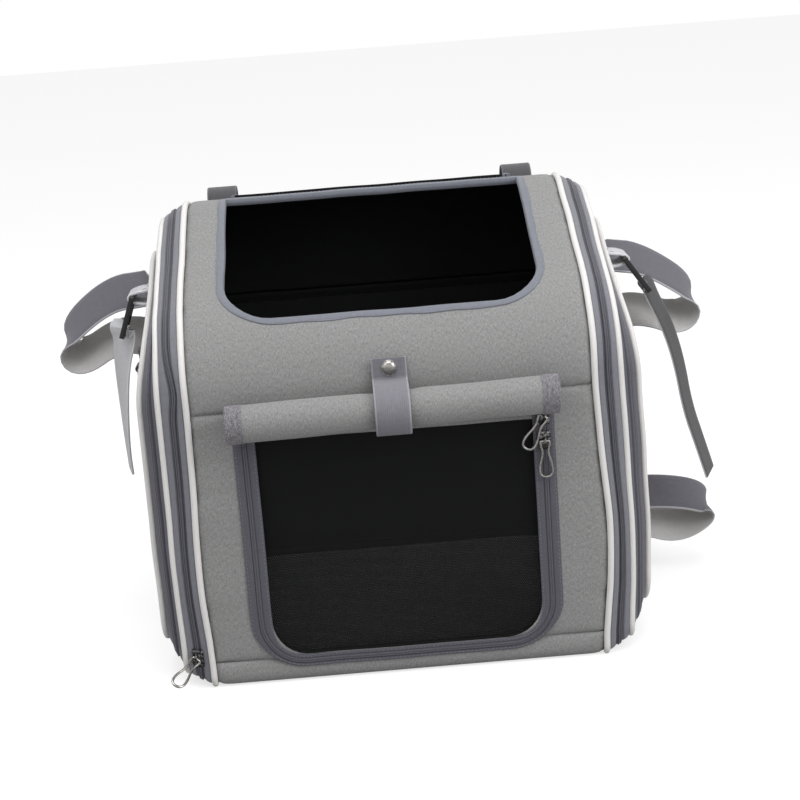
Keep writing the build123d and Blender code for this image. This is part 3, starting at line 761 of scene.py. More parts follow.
def net_sheet(name, corners, place, node):
    """A sheet of net cut to an outline in its own plane, then put in place with a sag."""
    low, high = reach_of(corners)
    bm = cut_cloth(corners, net_cell)
    middle = (low + high) / 2
    for vertex in bm.verts:
        across = abs(vertex.co.x - middle.x) / (high.x - low.x) * 2
        up = abs(vertex.co.y - middle.y) / (high.y - low.y) * 2
        sag = net_sag * max(1 - across ** 2, 0) * max(1 - up ** 2, 0)
        vertex.co = place(vertex.co.x, vertex.co.y, sag)
    return place_piece(name, bm, (net_finish,), "black_mesh", "basket", node)


net_low = Vector((-window_width / 2 - mesh_overlap, window_bottom - mesh_foot))
net_high = Vector((window_width / 2 + mesh_overlap, window_top + mesh_overlap))
net_corner = window_corner + mesh_overlap
front_net = net_sheet("front_window_net", rounded_corners(net_low, net_high, (net_corner, net_corner, 0, 0)),
                      lambda u, v, sag: Vector((u, net_back + sag, v)), "front_mesh")
thicken(front_net, -net_thickness)

# The door's zip: a ribbed tape sewn round the window, wider at the sides, with the
# closed chain of coils standing along its middle
tape_thickness = 1.0 * mm
coil_half = 1.5 * mm
coil_height = 0.8 * mm
door_tape_width = 16 * mm
door_tape_hem = 9 * mm
door_zip_top = 203 * mm
zip_step = 2.5 * mm
zip_corner = window_corner + door_tape_hem / 2
coil_x = (window_width + door_tape_width) / 2
coil_foot = window_bottom - door_tape_hem / 2
zip_tape = tape_material("zip_tape", "35353d", "5b5a64", 1.3 * mm, 0.6 * mm, 0.1 * mm)
outline = rounded_corners(Vector((-coil_x, coil_foot)), Vector((coil_x, door_zip_top)),
                          (zip_corner, zip_corner, 0, 0), 14)
spots = [Vector((-coil_x, door_zip_top)), *outline[:-2], Vector((coil_x, door_zip_top))]
zip_spots = walked(spots, zip_step) + spots[-1:]
zip_widths = [door_tape_hem + (door_tape_width - door_tape_hem)
              * smooth_step(spot.y, coil_foot, coil_foot + zip_corner) for spot in zip_spots]
zip_line = [settled(Vector((spot.x, front_y, spot.y))) for spot in zip_spots]
zip_stations = edge_stations(zip_line, Vector((0, -1, 0)))


def zip_half(share):
    """Half the zip tape's width at a share of its length."""
    return zip_widths[round(share * (len(zip_widths) - 1))] / 2


def door_zip_section(share):
    """The zip's section from edge to edge: tape, groove, coils, groove, tape."""
    half, face, crest = zip_half(share), tape_thickness, tape_thickness + coil_height
    spots = [(-half, 0), (-half, face - 0.1 * mm), (-half + 0.5 * mm, face + 0.2 * mm),
             (-coil_half * 2.2, face + 0.1 * mm), (-coil_half * 1.45, face - 0.1 * mm),
             (-coil_half * 1.15, face - 0.7 * mm), (-coil_half, face - 0.2 * mm),
             (-coil_half * 0.85, crest - 0.2 * mm), (-coil_half * 0.5, crest),
             (-coil_half * 0.2, crest - 0.1 * mm), (0, crest - 0.6 * mm)]
    return spots + [(-u, v) for u, v in reversed(spots[:-1])]


bm = sweep(zip_stations, door_zip_section, closed_section=False)
place_piece("window_zip", bm, (zip_tape,), "zip_tape", "basket", "door_zip")


# The three white pipings of each side: a cord in twill tape, caught in the seam
def twill_lines(tree, flat_place, lean, pitch):
    """Slanting lines across a cloth."""
    axes = axes_of(tree, flat_place)
    return arches(tree, calculate(tree, lean, axes[1], axes[0]), pitch)


def ring_section(wide, sides, tall=None):
    """A round section, or an oval one, back to its start."""
    turns = [step * 2 * pi / sides for step in range(sides + 1)]
    return [(wide * cos(turn), (wide if tall is None else tall) * sin(turn)) for turn in turns]


piping_radius = 2.4 * mm
outer_piping_radius = 2.2 * mm
outline_cell = 2.4 * mm
middle_x = sleeve_width / 2 + gusset_reach
outer_x = sleeve_width / 2 + dome_reach
white_twill, tree, shader = add_material("white_twill", 0.7, sheen=0.2)
twill = twill_lines(tree, on_cloth(tree), "ADD", 1.1 * mm)
tint(tree, shader, twill, "cfcdcb", "eeecea")
add_bump(tree, shader, twill, 0.1 * mm)

outline_rows = ceil(outline_length / outline_cell)
outline_ways = [row * outline_length / outline_rows for row in range(outline_rows + 1)]
pipings = (
    ("front_piping", sleeve_width / 2, -piping_radius / 2, piping_radius),
    ("middle_piping", middle_x, -piping_radius / 2, piping_radius),
    ("outer_piping", outer_x, 0.0, outer_piping_radius),
)
hands = ((-1, "left"), (1, "right"))


def raised_at(out):
    """The skin's outward direction right round a side."""
    return [skin_point(out, way, 1) - skin_point(out, way) for way in outline_ways]


for side, hand in hands:
    for piping_name, out, lift, radius in pipings:
        line = [settled(skin_point(side * out, way, lift)) for way in outline_ways]
        for spot in line:
            spot.z = max(spot.z, radius)
        stations = edge_stations(line, raised_at(side * out), True)
        bm = sweep(stations, ring_section(radius, 12), closed_way=True)
        place_piece(f"{piping_name}_cord_{hand}", bm, (white_twill,), "piping", "basket",
                    f"{piping_name}_{hand}")

# The seam tapes: inside, each piping's seam is bound with a flat black tape, so that no
# white shows through the top opening
seam_tape = ring_section(4.2 * mm, 12, 1.0 * mm)
seam_tape_drop = 3.2 * mm
seam_tape_shift = 1.0 * mm
for side, hand in hands:
    for piping_name, out, lift, radius in pipings:
        line = [settled(skin_point(side * (out - seam_tape_shift), way, lift - seam_tape_drop))
                for way in outline_ways]
        bm = sweep(edge_stations(line, raised_at(side * out), True), seam_tape, closed_way=True)
        place_piece(f"{piping_name}_seam_tape_{hand}", bm, (lining,), "body_cloth", "basket")

# The bands between the pipings: violet-grey grosgrain each side of a zip that runs right
# round, so that the sides can be opened out
side_skin = 3 * mm
gusset_start = sleeve_width / 2 + piping_radius
gusset_stop = middle_x - piping_radius
gusset_third = (gusset_stop - gusset_start) / 3
dome_tuck = 1.0 * mm
dome_start = middle_x + dome_tuck
dome_stop = outer_x - dome_tuck
groove = {"gusset_zip": 1.6 * mm, "side_zip": 1.2 * mm}
grosgrain = tape_material("violet_grey_grosgrain", "55555d", "86868f", 0.9 * mm, 0.5 * mm, 0.12 * mm)


def band_lift(share):
    """A strip of grosgrain turned under at both edges."""
    return 0.1 * mm - 1.1 * mm * abs(2 * share - 1) ** 5


def chain_lift(off, sink):
    """A zip's surface at a distance from the middle of its coils."""
    off = abs(off)
    if off < coil_half:
        split = 0.6 * mm * max(1 - off / (0.3 * mm), 0)
        return coil_height * (1 - (off / coil_half) ** 4 * 0.5) - split
    if off < coil_half * 1.35:
        return -sink
    return -sink * 0.25


def gusset_zip_lift(share):
    """The gusset zip's surface across its width."""
    return chain_lift((share - 0.5) * gusset_third, groove["gusset_zip"])


def side_zip_lift(share):
    """The side zip's surface across its width, with its tape turned under."""
    chain = chain_lift((share - 0.5) * (dome_stop - dome_start), groove["side_zip"])
    return chain + (band_lift(share) - 0.1 * mm) * 0.6


def side_band(side, start, stop, lift, columns):
    """A closed band of cloth round a side between two distances from the middle."""
    low, high = (start, stop) if side > 0 else (-stop, -start)
    cell = ((stop - start) / columns * 1.0001, outline_cell)
    bm = cloth_grid(low, high, 0, outline_length, cell,
                    lambda x, way: lift((abs(x) - start) / (stop - start)))
    bmesh.ops.remove_doubles(bm, verts=bm.verts, dist=1e-6)
    settle(bm)
    for vertex in bm.verts:
        vertex.co.z = max(vertex.co.z, 0.2 * mm)
    return bm


bands = (
    ("inner_gusset", gusset_start, gusset_start + gusset_third, band_lift, 8, grosgrain, "band_cloth"),
    ("outer_gusset", gusset_stop - gusset_third, gusset_stop, band_lift, 8, grosgrain, "band_cloth"),
    ("gusset_zip", gusset_start + gusset_third, gusset_stop - gusset_third, gusset_zip_lift, 18,
     zip_tape, "zip_tape"),
    ("side_zip", dome_start, dome_stop, side_zip_lift, 26, zip_tape, "zip_tape"),
)
for side, hand in hands:
    for band_name, start, stop, lift, columns, finish, slot_name in bands:
        bm = side_band(side, start, stop, lift, columns)
        band = place_piece(f"{band_name}_band_{hand}", bm, (finish, lining), slot_name, "basket",
                           f"{band_name}_{hand}")
        thicken(band, side_skin * 0.6, inner=1)

# Each side panel: a melange panel with a net window, gently domed between its seams, and
# a binding sewn round its window
panel_face = outer_x + outer_piping_radius / 2
panel_inset = dome_inset + dome_tuck
side_window_low = Vector((front_y + 51 * mm, 52 * mm))
side_window_size = Vector((98, 148)) * mm
side_window_corner = 24 * mm
dome_rise = 3.0 * mm
panel_cell = 4.5 * mm
outline_steps = 140
panel_edge = [outline_point(-step * outline_length / outline_steps, panel_inset)[0]
              for step in range(outline_steps)]
panel_area = sum(a.cross(b) for a, b in zip(panel_edge, panel_edge[1:] + panel_edge[:1])) / 2
panel_area -= side_window_size.x * side_window_size.y * 0.97
side_window_high = side_window_low + side_window_size
side_window_edge = rounded_corners(side_window_low, side_window_high, (side_window_corner,) * 4)
net_overlap = Vector((mesh_overlap, mesh_overlap))
net_low, net_high = side_window_low - net_overlap, side_window_high + net_overlap
side_net_edge = rounded_corners(net_low, net_high, (side_window_corner + mesh_overlap,) * 4)


def side_doming(y, z):
    """How far a side panel stands out at a place, from nothing at its seams."""
    low = hump(z, 8 * mm, 120 * mm, 300 * mm)
    return dome_rise * low * hump(y, back_y * -0.78, 0, back_y * 0.78)


def on_panel(side, y, z, lift=0.0):
    """A place on a side panel's face, or off it."""
    return settled(Vector((side * (panel_face + lift + side_doming(y, z)), y, z)))


for side, hand in hands:
    bm = cut_cloth(panel_edge, panel_cell)
    opened(bm, side_window_edge, in_plan, from_plan)
    for vertex in bm.verts:
        vertex.co = on_panel(side, vertex.co.x, vertex.co.y)
    if side < 0:
        bmesh.ops.reverse_faces(bm, faces=bm.faces)
    panel = place_piece(f"side_panel_cloth_{hand}", bm, (body_cloth, lining), "body_cloth", "basket",
                        f"side_panel_{hand}")
    thicken(panel, side_skin, inner=1, rim=1)
    side_net = net_sheet(f"side_window_net_{hand}", side_net_edge,
                         lambda u, v, sag: on_panel(side, u, v, -side_skin - 0.2 * mm - sag),
                         f"side_mesh_{hand}")
    thicken(side_net, -side * net_thickness)
    line = [on_panel(side, c.x, c.y) for c in side_window_edge + side_window_edge[:1]]
    bm = sweep(edge_stations(line, Vector((side, 0, 0)), True),
               [(u * -side, v) for u, v in binding_section(0)], closed_way=True)
    place_piece(f"side_window_binding_{hand}", bm, (binding_cloth,), "band_cloth", "basket")

# The front door, unzipped and rolled up to the seam: melange cloth wound in nearly three
# turns. Its two sides are bound in a coarse speckled twill, sewn along its inner edge
roll_radius = 16.3 * mm
roll_length = 240 * mm
roll_sheet = 3.0 * mm
roll_pitch = 4.5 * mm
roll_turns = 2.8
roll_steps = 28
roll_y = -141.5 * mm
roll_height = 213.5 * mm
roll_start = 218.4 * mm
roll_squeeze = 1.2 * mm
roll_rise = 1.2 * mm
roll_tilt = 2.2 * mm
roll_binding = 12 * mm
roll_slack = 0.7 * mm
door_columns = 60
speckled_pitch = 1.5 * mm


def roll_up(bm):
    """Tilt the evenly wound door, slacken it and nip it where its strap holds it."""
    for vertex in bm.verts:
        point = vertex.co
        away = Vector((0, point.y - roll_y, point.z - roll_height))
        nipped = roll_squeeze * (1 - smooth_step(abs(point.x), 12 * mm, 24 * mm))
        slack = roll_slack * noise.noise(Vector((point.x * 22, away.y * 14, away.z * 14)))
        shift = (slack - nipped) * away.length / roll_radius
        rise = Vector((0, 0, roll_rise + roll_tilt * point.x * 2 / roll_length))
        vertex.co = point + shift * away.normalized() + rise


door_line = [Vector((0, roll_y + roll_radius, roll_start))]
door_raised = [Vector((0, 1, 0))]
for step in range(round(roll_turns * roll_steps) + 1):
    wound = step * 2 * pi / roll_steps
    out = Vector((0, cos(wound), -sin(wound)))
    door_line.append(Vector((0, roll_y, roll_height)) + (roll_radius - roll_pitch * wound / (2 * pi)) * out)
    door_raised.append(out)
door_stations = edge_stations(door_line, door_raised)
across_door = [((column / door_columns - 0.5) * roll_length, 0) for column in range(door_columns + 1)]
bm = sweep(door_stations, across_door, closed_section=False)
roll_up(bm)
door = place_piece("rolled_front_door", bm, (body_cloth,), "body_cloth", "basket", "rolled_door")
thicken(door, roll_sheet)

speckled_twill, tree, shader = add_material("speckled_violet_twill", 0.8, sheen=0.15)
flat_place = on_cloth(tree)
twill = twill_lines(tree, flat_place, "SUBTRACT", speckled_pitch)
yarn = place_group(tree, melange_group, {"Vector": flat_place, "Fibre": 0.8})
tone = add_node(tree, "MapRange", {"Value": yarn["Shade"], 1: 0.43, 2: 0.57}).outputs[0]
tone = add_share(tree, calculate(tree, "MULTIPLY", tone, 0.65), twill, 0.35)
tint(tree, shader, tone, "2c2b2f", "9d99a0")
add_bump(tree, shader, twill, 0.25 * mm)
for side, hand in hands:
    inner = side * (roll_length / 2 - roll_binding)
    outer = side * roll_length / 2
    lip = side * 0.9 * mm
    shape = [(inner, 0.5 * mm), ((inner + outer) / 2, 0.6 * mm), (outer, 0.5 * mm),
             (outer + lip, -0.4 * mm), (outer + lip * 1.2, -roll_sheet / 2),
             (outer + lip, -roll_sheet + 0.4 * mm), (outer, -roll_sheet - 0.5 * mm),
             (inner, -roll_sheet - 0.5 * mm), (inner, 0.5 * mm)]
    bm = sweep(door_stations, shape)
    roll_up(bm)
    place_piece(f"door_edge_binding_{hand}", bm, (speckled_twill,), "band_cloth", "basket")


# The strap round the roll: one length of violet-grey webbing, sewn on under the roll, up
# its front and over its top, where its free end is pressed onto a stud
def smooth_route(points, rounds):
    """Cut a route's corners until it bends softly, its ends kept."""
    for _ in range(rounds):
        cut = [a.lerp(b, share) for a, b in zip(points, points[1:]) for share in (0.25, 0.75)]
        points = [points[0], *cut[1:-1], points[-1]]
    return points


def smooth_loop(points, rounds=2):
    """Cut a closed route's corners, and return it back to its start."""
    for _ in range(rounds):
        points = [a.lerp(b, share) for a, b in zip(points, points[1:] + points[:1]) for share in (0.25, 0.75)]
    return points + points[:1]


def band_section(width, thickness, steps=3):
    """A flat band's section with round edges, back to its start."""
    half, edge = width / 2 - thickness / 2, thickness / 2
    turns = [pi * (step / steps - 0.5) for step in range(steps + 1)]
    spots = []
    for side in (1, -1):
        spots += [(side * (half + edge * cos(turn)), side * edge * sin(turn)) for turn in turns]
        spots += [(side * half * (1 - third / 3), side * edge) for third in range(1, 6)]
    return spots + spots[:1]


def lay_strap(route, across, width, thickness, rounds=3, under=0):
    """Lay webbing along a route, its width along a direction that may turn on the way."""
    line = smooth_route(route, rounds)
    last = len(line) - 1
    turned = across if callable(across) else lambda share: across
    raised = [turned(index / last).cross(line[min(index + 1, last)] - line[max(index - 1, 0)])
              for index in range(last + 1)]
    stations = edge_stations(line, raised)
    return sweep(stations, band_section(width, thickness), from_edge=width / 2, under=under), stations


stitch_length = 2.3 * mm
stitch_width = 0.6 * mm
stitch_height = 0.5 * mm
stitch_shape = Matrix.Diagonal((1, stitch_width / stitch_length, stitch_height / stitch_length, 1))


def sew(bm, stations, offset, lift, pitch=3.2 * mm, first=0.0, last=None):
    """Sew a row of stitches along stations, some way across and proud of them."""
    reach = stations[-1][3] if last is None else last
    place = first + pitch / 2
    index = 0
    while place < reach:
        while index < len(stations) - 2 and stations[index + 1][3] < place:
            index += 1
        (a, sideways, up, start), (b, _, _, stop) = stations[index], stations[index + 1]
        ahead = (b - a).normalized()
        off = offset(place / stations[-1][3]) if callable(offset) else offset
        spot = a.lerp(b, (place - start) / (stop - start)) + off * sideways + lift * up
        turn = Matrix((ahead, ahead.cross(up), up)).transposed().to_4x4()
        made = bmesh.ops.create_icosphere(bm, subdivisions=1, radius=stitch_length / 2)["verts"]
        bmesh.ops.transform(bm, verts=made, matrix=Matrix.Translation(spot) @ turn @ stitch_shape)
        place += pitch


def mottled(name, dark, light, scale, detail, roughness, bump=0.0, span=None, grit=0.5, **finish):
    """A material mottled by fine noise between two colours, with that noise."""
    material, tree, shader = add_material(name, roughness, **finish)
    place = add_node(tree, "TexCoord").outputs["Object"]
    speck = add_node(tree, "TexNoise", {"Vector": place, "Scale": scale, "Detail": detail, "Roughness": grit})
    speck = tone = speck.outputs[0]
    if span:
        tone = add_node(tree, "MapRange", {"Value": speck, 1: span[0], 2: span[1]}).outputs[0]
    tint(tree, shader, tone, dark, light)
    if bump:
        add_bump(tree, shader, speck, bump)
    return material, tree, shader, speck


ribbed_violet = tape_material("violet_webbing", "54535b", "85848c", 0.7 * mm, 1.5 * mm, 0.12 * mm, "98979d")
thread_finish = mottled("grey_thread", "55545c", "8f8e97", 900.0, 2.0, 0.55)[0]
roll_strap_width = 26 * mm
roll_strap_thickness = 1.6 * mm
strap_orbit = 17.9 * mm
strap_top = 248.5 * mm
strap_back = -127.3 * mm
orbit = [Vector((0, roll_y - strap_orbit * sin(turn), roll_height - strap_orbit * cos(turn)))
         for turn in (step * pi / 16 for step in range(17))]
over_roll = roll_height + strap_orbit
strap_route = [Vector((0, front_y, roll_height - strap_orbit)), *orbit,
               Vector((0, strap_back - 4 * mm, over_roll)), Vector((0, strap_back, over_roll + 1.0 * mm)),
               Vector((0, strap_back, over_roll + 6 * mm)), Vector((0, strap_back, strap_top))]
bm, _ = lay_strap(strap_route, Vector((1, 0, 0)), roll_strap_width, roll_strap_thickness)
roll_strap = place_piece("door_roll_strap", bm, (ribbed_violet,), "grey_webbing", None, "roll_strap",
                         "roll_strap_end")
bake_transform(roll_strap)

# The press stud: a pressed nickel stud on the top panel, and its domed cap riveted
# through the strap's free end
nickel, tree, shader, tarnish = mottled("bright_nickel", "6f6d6b", "bab7b3", 380.0, 5.0, 0.22, 0.03 * mm,
                                        metallic=1.0)
tree.links.new(calculate(tree, "MULTIPLY", tarnish, 0.5), shader["Roughness"])


def turned(profile, place, facing, steps=28):
    """Spin a profile of radii and heights round an axis that faces one way from a place."""
    bm = bmesh.new()
    spots = [bm.verts.new((radius, 0, height)) for radius, height in profile]
    edges = [bm.edges.new(pair) for pair in zip(spots, spots[1:])]
    bmesh.ops.spin(bm, geom=spots + edges, cent=(0, 0, 0), axis=(0, 0, 1), angle=2 * pi, steps=steps,
                   use_merge=True)
    bmesh.ops.remove_doubles(bm, verts=bm.verts, dist=1e-6)
    bmesh.ops.recalc_face_normals(bm, faces=bm.faces)
    bmesh.ops.transform(bm, verts=bm.verts, matrix=Matrix.Translation(place)
                        @ Vector(facing).to_track_quat("Z", "Y").to_matrix().to_4x4())
    return bm


stud_height = 241 * mm
cap_profile = [(0, 2.7), (1.6, 2.6), (3.2, 2.2), (4.4, 1.6), (5.1, 0.9), (5.3, 0.7), (5.9, 0.75), (6.2, 0.4),
               (6.2, 0.0), (5.8, -0.3), (0, -0.3)]
cap_seat = Vector((0, strap_back - roll_strap_thickness / 2, stud_height))
bm = turned([(radius * mm, height * mm) for radius, height in cap_profile], cap_seat, (0, -1, 0))
place_piece("strap_snap_dome", bm, (nickel,), "nickel", "roll_strap_end", "snap_cap")
stud_low, stud_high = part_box("snap_stud")
stud_depth = stud_high[1] - stud_low[1]
stud_profile = [(0, 1), (1.7, 1), (2.1, 0.85), (1.8, 0.6), (3.4, 0.5), (4.5, 0.35), (4.5, 0), (0, 0)]
bm = turned([(radius * mm, share * stud_depth) for radius, share in stud_profile],
            Vector((0, stud_high[1], stud_height)), (0, -1, 0))
place_piece("panel_snap_stud", bm, (nickel,), "nickel", "basket", "snap_stud")

# Sliders and wire pulls: each slider is a cast body with worn nickel edges, and its pull
# is a teardrop of round wire that narrows below the bar
slider_metal = mottled("dark_nickel", "2f2e31", "8f8d8a", 520.0, 5.0, 0.3, 0.03 * mm, (0.45, 0.62),
                       metallic=1.0)[0]


def softened_copy(node, name, width, finish, slot, body):
    """A solid's shape with its sharp edges rounded off."""
    bm = bmesh.new()
    bm.from_mesh(frame["nodes"][node].data)
    bmesh.ops.remove_doubles(bm, verts=bm.verts, dist=1e-6)
    bmesh.ops.dissolve_limit(bm, angle_limit=radians(1), verts=bm.verts, edges=bm.edges)
    sharp = [edge for edge in bm.edges if edge.calc_face_angle(0) > radians(28)]
    bmesh.ops.bevel(bm, geom=sharp, offset=width, segments=2, profile=0.5, affect="EDGES", material=-1,
                    clamp_overlap=True)
    return place_piece(name, bm, (finish,), slot, body, node)


zip_sliders = (
    ("door_slider", "door_slider", "door_pull"), ("upper_slider", "basket", "upper_pull"),
    ("gusset_slider_left", "gusset_slider_left", "gusset_pull_left"),
    ("gusset_slider_right", "gusset_slider_right", "gusset_pull_right"),
    ("side_slider_left", "side_slider_left", "side_pull_left"),
    ("side_slider_right", "side_slider_right", "side_pull_right"),
)
casting_edge = 0.22 * mm
pull_wire = 1.0 * mm
pull_shape = ((0, 2.6), (0.3, 3.3), (1.4, 3.5), (4.5, 2.9), (8.5, 2.0), (14, 3.2), (19, 4.6), (24, 4.9),
              (27, 3.4), (28, 0))
joints = {joint["child"]: joint for joint in frame["joints"]}
for slider, body, pull in zip_sliders:
    softened_copy(slider, f"{slider}_casting", casting_edge, slider_metal, "nickel", body)
    hinge = Vector(joints[pull]["pos_m"])
    bar = Vector(joints[pull]["axis"]).normalized()
    spots = [vertex.co - hinge for vertex in frame["nodes"][pull].data.vertices]
    hang = sum(spots, Vector((0, 0, 0)))
    hang = (hang - hang.dot(bar) * bar).normalized()
    reach = max(spot.dot(hang) for spot in spots) - pull_wire
    shape = [(down / pull_shape[-1][0] * reach, wide * mm) for down, wide in pull_shape]
    shape += [(down, -wide) for down, wide in reversed(shape[:-1])]
    line = smooth_loop([hinge + hang * down + bar * wide for down, wide in shape])
    bm = sweep(edge_stations(line, bar.cross(hang), True), ring_section(pull_wire, 8), closed_way=True)
    place_piece(f"{pull}_wire", bm, (nickel,), "nickel", pull, pull)

# The handlebar loops: dark grey webbing sewn to the back, up round the bar and down
# onto itself
loop_x = 125.5 * mm
webbing_width = 25 * mm
webbing_thickness = 1.9 * mm
bar_y = 142.9 * mm
bar_height = 324 * mm
bar_orbit = 16.9 * mm
loop_foot = 232 * mm
loop_tail = 262 * mm
loop_sewn = 14 * mm
stitch_row = 0.42 * webbing_width
sewn_y = back_y + webbing_thickness / 2
folded_y = sewn_y + webbing_thickness * 1.05
webbing_ribs = (0.8 * mm, 1.6 * mm, 0.14 * mm)
dark_webbing = tape_material("dark_webbing", "262629", "434347", *webbing_ribs, "55555a")
for side, hand in hands:
    x = side * loop_x
    circle = [Vector((x, bar_y + bar_orbit * cos(turn), bar_height + bar_orbit * sin(turn)))
              for turn in (pi - step * radians(310) / 31 for step in range(32))]
    ways_up = [Vector((x, sewn_y, height)) for height in (loop_foot, loop_tail, bar_height - 12 * mm)]
    ways_down = [Vector((x, sewn_y + webbing_thickness * 1.15, bar_height - 19 * mm)),
                 Vector((x, folded_y, bar_height - 30 * mm)), Vector((x, folded_y, loop_tail))]
    bm, stations = lay_strap(ways_up + circle + ways_down, Vector((1, 0, 0)), webbing_width,
                             webbing_thickness, rounds=2)
    place_piece(f"bar_loop_webbing_{hand}", bm, (dark_webbing,), "dark_webbing", "basket",
                f"handlebar_loop_{hand}")
    outer_face = [(spot + Vector((0, webbing_thickness, 0)), *rest) for spot, *rest in stations]
    bm = bmesh.new()
    for row in (-stitch_row, stitch_row):
        sew(bm, stations, row, -webbing_thickness / 2, last=loop_tail - loop_foot)
        sew(bm, outer_face, row, -webbing_thickness / 2, first=loop_tail - loop_foot,
            last=loop_tail - loop_foot + loop_sewn)
    place_piece(f"bar_loop_stitching_{hand}", bm, (thread_finish,), "dark_webbing", "basket")


# The shoulder straps' wide loops: violet webbing whose back is painted much lighter, as painted light on the
# loops' inner faces, sewn to each side panel at both ends and standing out in a fold, and a lower loop on the
# right
def seat_on_side(bm, reach):
    """Carry a strap's sewn ends in with the side panel, up to a reach from it."""
    for vertex in bm.verts:
        away = abs(vertex.co.x) - panel_face
        drawn = drawn_in(vertex.co.z)
        carried = drawn * (1 - smooth_step(away, 1.5 * mm, reach))
        within = panel_face + side_doming(vertex.co.y, vertex.co.z) - drawn - side_skin / 2
        vertex.co.x = max(abs(vertex.co.x) - carried, within) * (1 if vertex.co.x > 0 else -1)


wide_webbing = 38 * mm
wide_thickness = 1.8 * mm
wide_middle = 55 * mm
wide_reach = 24 * mm
wide_ribs = (0.7 * mm, 1.6 * mm, 0.12 * mm)
wide_face = tape_material("wide_webbing_face", "3f3e46", "65646d", *wide_ribs, "a6a5aa")
# The back's colours are painted light: the loops' inner faces are coloured lighter to stand in for the light
# that falls on them
wide_back_painted_light = tape_material("wide_webbing_back_painted_light", "9c9a99", "cac8c6", *wide_ribs, "bfbec0")
wide_straps = (
    (1, "shoulder_strap_right", 34,
     ((188.1, 286.8), (188.1, 275.2), (219.2, 268.4), (262.1, 237.1), (247.3, 214.0), (210.3, 229.0),
      (188.1, 223.5), (188.1, 209.9))),
    (-1, "shoulder_strap_left", 40,
     ((188.1, 287.4), (188.1, 277.2), (221.4, 274.5), (262.1, 241.8), (250.3, 220.1), (213.3, 241.8),
      (188.1, 235.0), (188.1, 220.1))),
    (1, "lower_strap_loop", 30,
     ((188.1, 79.5), (188.1, 66.0), (218.5, 67.8), (256.9, 61.2), (268.1, 49.5), (237.7, 33.0),
      (204.1, 44.4), (188.1, 47.4), (188.1, 33.0))),
)
for side, node, lean, spots in wide_straps:
    low_front = Vector((0, -side * cos(radians(lean)), -side * sin(radians(lean))))
    route = [Vector((side * out * mm, wide_middle, height * mm)) for out, height in spots]
    bm, stations = lay_strap(route, low_front, wide_webbing, wide_thickness, under=1)
    seat_on_side(bm, wide_reach)
    place_piece(f"{node}_webbing", bm, (wide_face, wide_back_painted_light), "grey_webbing", "basket", node)
    bm = bmesh.new()
    for first, last in ((2 * mm, 8 * mm), (stations[-1][3] - 9 * mm, stations[-1][3] - 2 * mm)):
        for row in (-0.4, -0.2, 0.0, 0.2, 0.4):
            sew(bm, stations, row * wide_webbing, wide_thickness / 2, first=first, last=last)
    seat_on_side(bm, wide_reach)
    place_piece(f"{node}_stitching", bm, (thread_finish,), "grey_webbing", "basket")

# The ladder locks: black nylon buckles, each held by a folded tab of pale webbing that
# is sewn to the side panel, with its strap's tail threaded round the lowest bar
nylon, tree, shader, scuff = mottled("black_nylon", "0d0d0e", "2b2b2d", 240.0, 6.0, 0.36, 0.05 * mm, grit=0.7)
tree.links.new(add_share(tree, 0.22, scuff, 0.3), shader["Roughness"])
tab_ribs = (0.8 * mm, 1.5 * mm, 0.12 * mm)
pale_webbing = tape_material("pale_webbing", "a9a9ae", "d4d4d8", *tab_ribs, "d8d8dc")
black_webbing = tape_material("black_webbing", "1a1a1c", "38383b", *tab_ribs, "4a4a4e")
buckle_edge = 0.55 * mm
lock_middle = 14 * mm
lock_height = 280 * mm
lock_orbit = 3.1 * mm
tab_reach = 5 * mm
tab_sewn = 9 * mm
tab_route = ((0.9, 14.0), (1.3, 6.5), (4.4, 4.0), (8.0, 3.1), (10.9, 1.3), (10.9, -1.3), (8.0, -3.1),
             (3.6, -4.6), (1.4, -7.0), (1.1, -13.0))
tails = (
    (-1, "left", Vector((-205.36, 14, 251.81)) * mm, 58, 12, (pale_webbing, black_webbing),
     ((205.6, 246.0), (209.8, 228.6), (212.2, 199.6), (213.4, 159.0), (212.6, 135.8))),
    (1, "right", Vector((211.88, 14, 255.13)) * mm, 30, 26, (black_webbing, pale_webbing),
     ((217.5, 246.0), (229.0, 221.0), (237.5, 190.0), (243.0, 152.0), (252.5, 120.0), (260.0, 94.0))),
)
for side, hand, low_bar, twist, end_twist, tail_finishes, tail_spots in tails:
    softened_copy(f"ladder_lock_{hand}", f"lock_buckle_{hand}", buckle_edge, nylon, "black_plastic",
                  f"ladder_lock_{hand}")
    route = [Vector((side * (panel_face + out * mm), lock_middle, lock_height + up * mm))
             for out, up in tab_route]
    bm, stations = lay_strap(route, Vector((0, -side, 0)), webbing_width, webbing_thickness, rounds=2)
    seat_on_side(bm, tab_reach)
    place_piece(f"lock_tab_{hand}", bm, (pale_webbing,), "grey_webbing", "basket", f"strap_tab_{hand}")
    bm = bmesh.new()
    for row in (0.38, -0.38):
        sew(bm, stations, row * webbing_width, webbing_thickness / 2, last=tab_sewn)
    seat_on_side(bm, tab_reach)
    place_piece(f"lock_tab_stitching_{hand}", bm, (thread_finish,), "grey_webbing", "basket")

    def tail_across(share):
        """The tail's width, turned towards the front below the lock."""
        turn = twist * smooth_step(share, 0.25, 0.55) + (end_twist - twist) * smooth_step(share, 0.6, 1)
        return Vector((-sin(radians(turn)), -side * cos(radians(turn)), 0))

    around = [low_bar + lock_orbit * Vector((side * sin(turn), 0, -cos(turn)))
              for turn in (radians(-50 - step * 20) for step in range(9))]
    down = [Vector((side * out * mm, lock_middle, height * mm)) for out, height in tail_spots]
    bm, _ = lay_strap(around + down, tail_across, webbing_width, webbing_thickness, under=1)
    place_piece(f"lock_tail_{hand}", bm, tail_finishes, "dark_webbing", f"strap_tail_{hand}",
                f"strap_tail_{hand}")

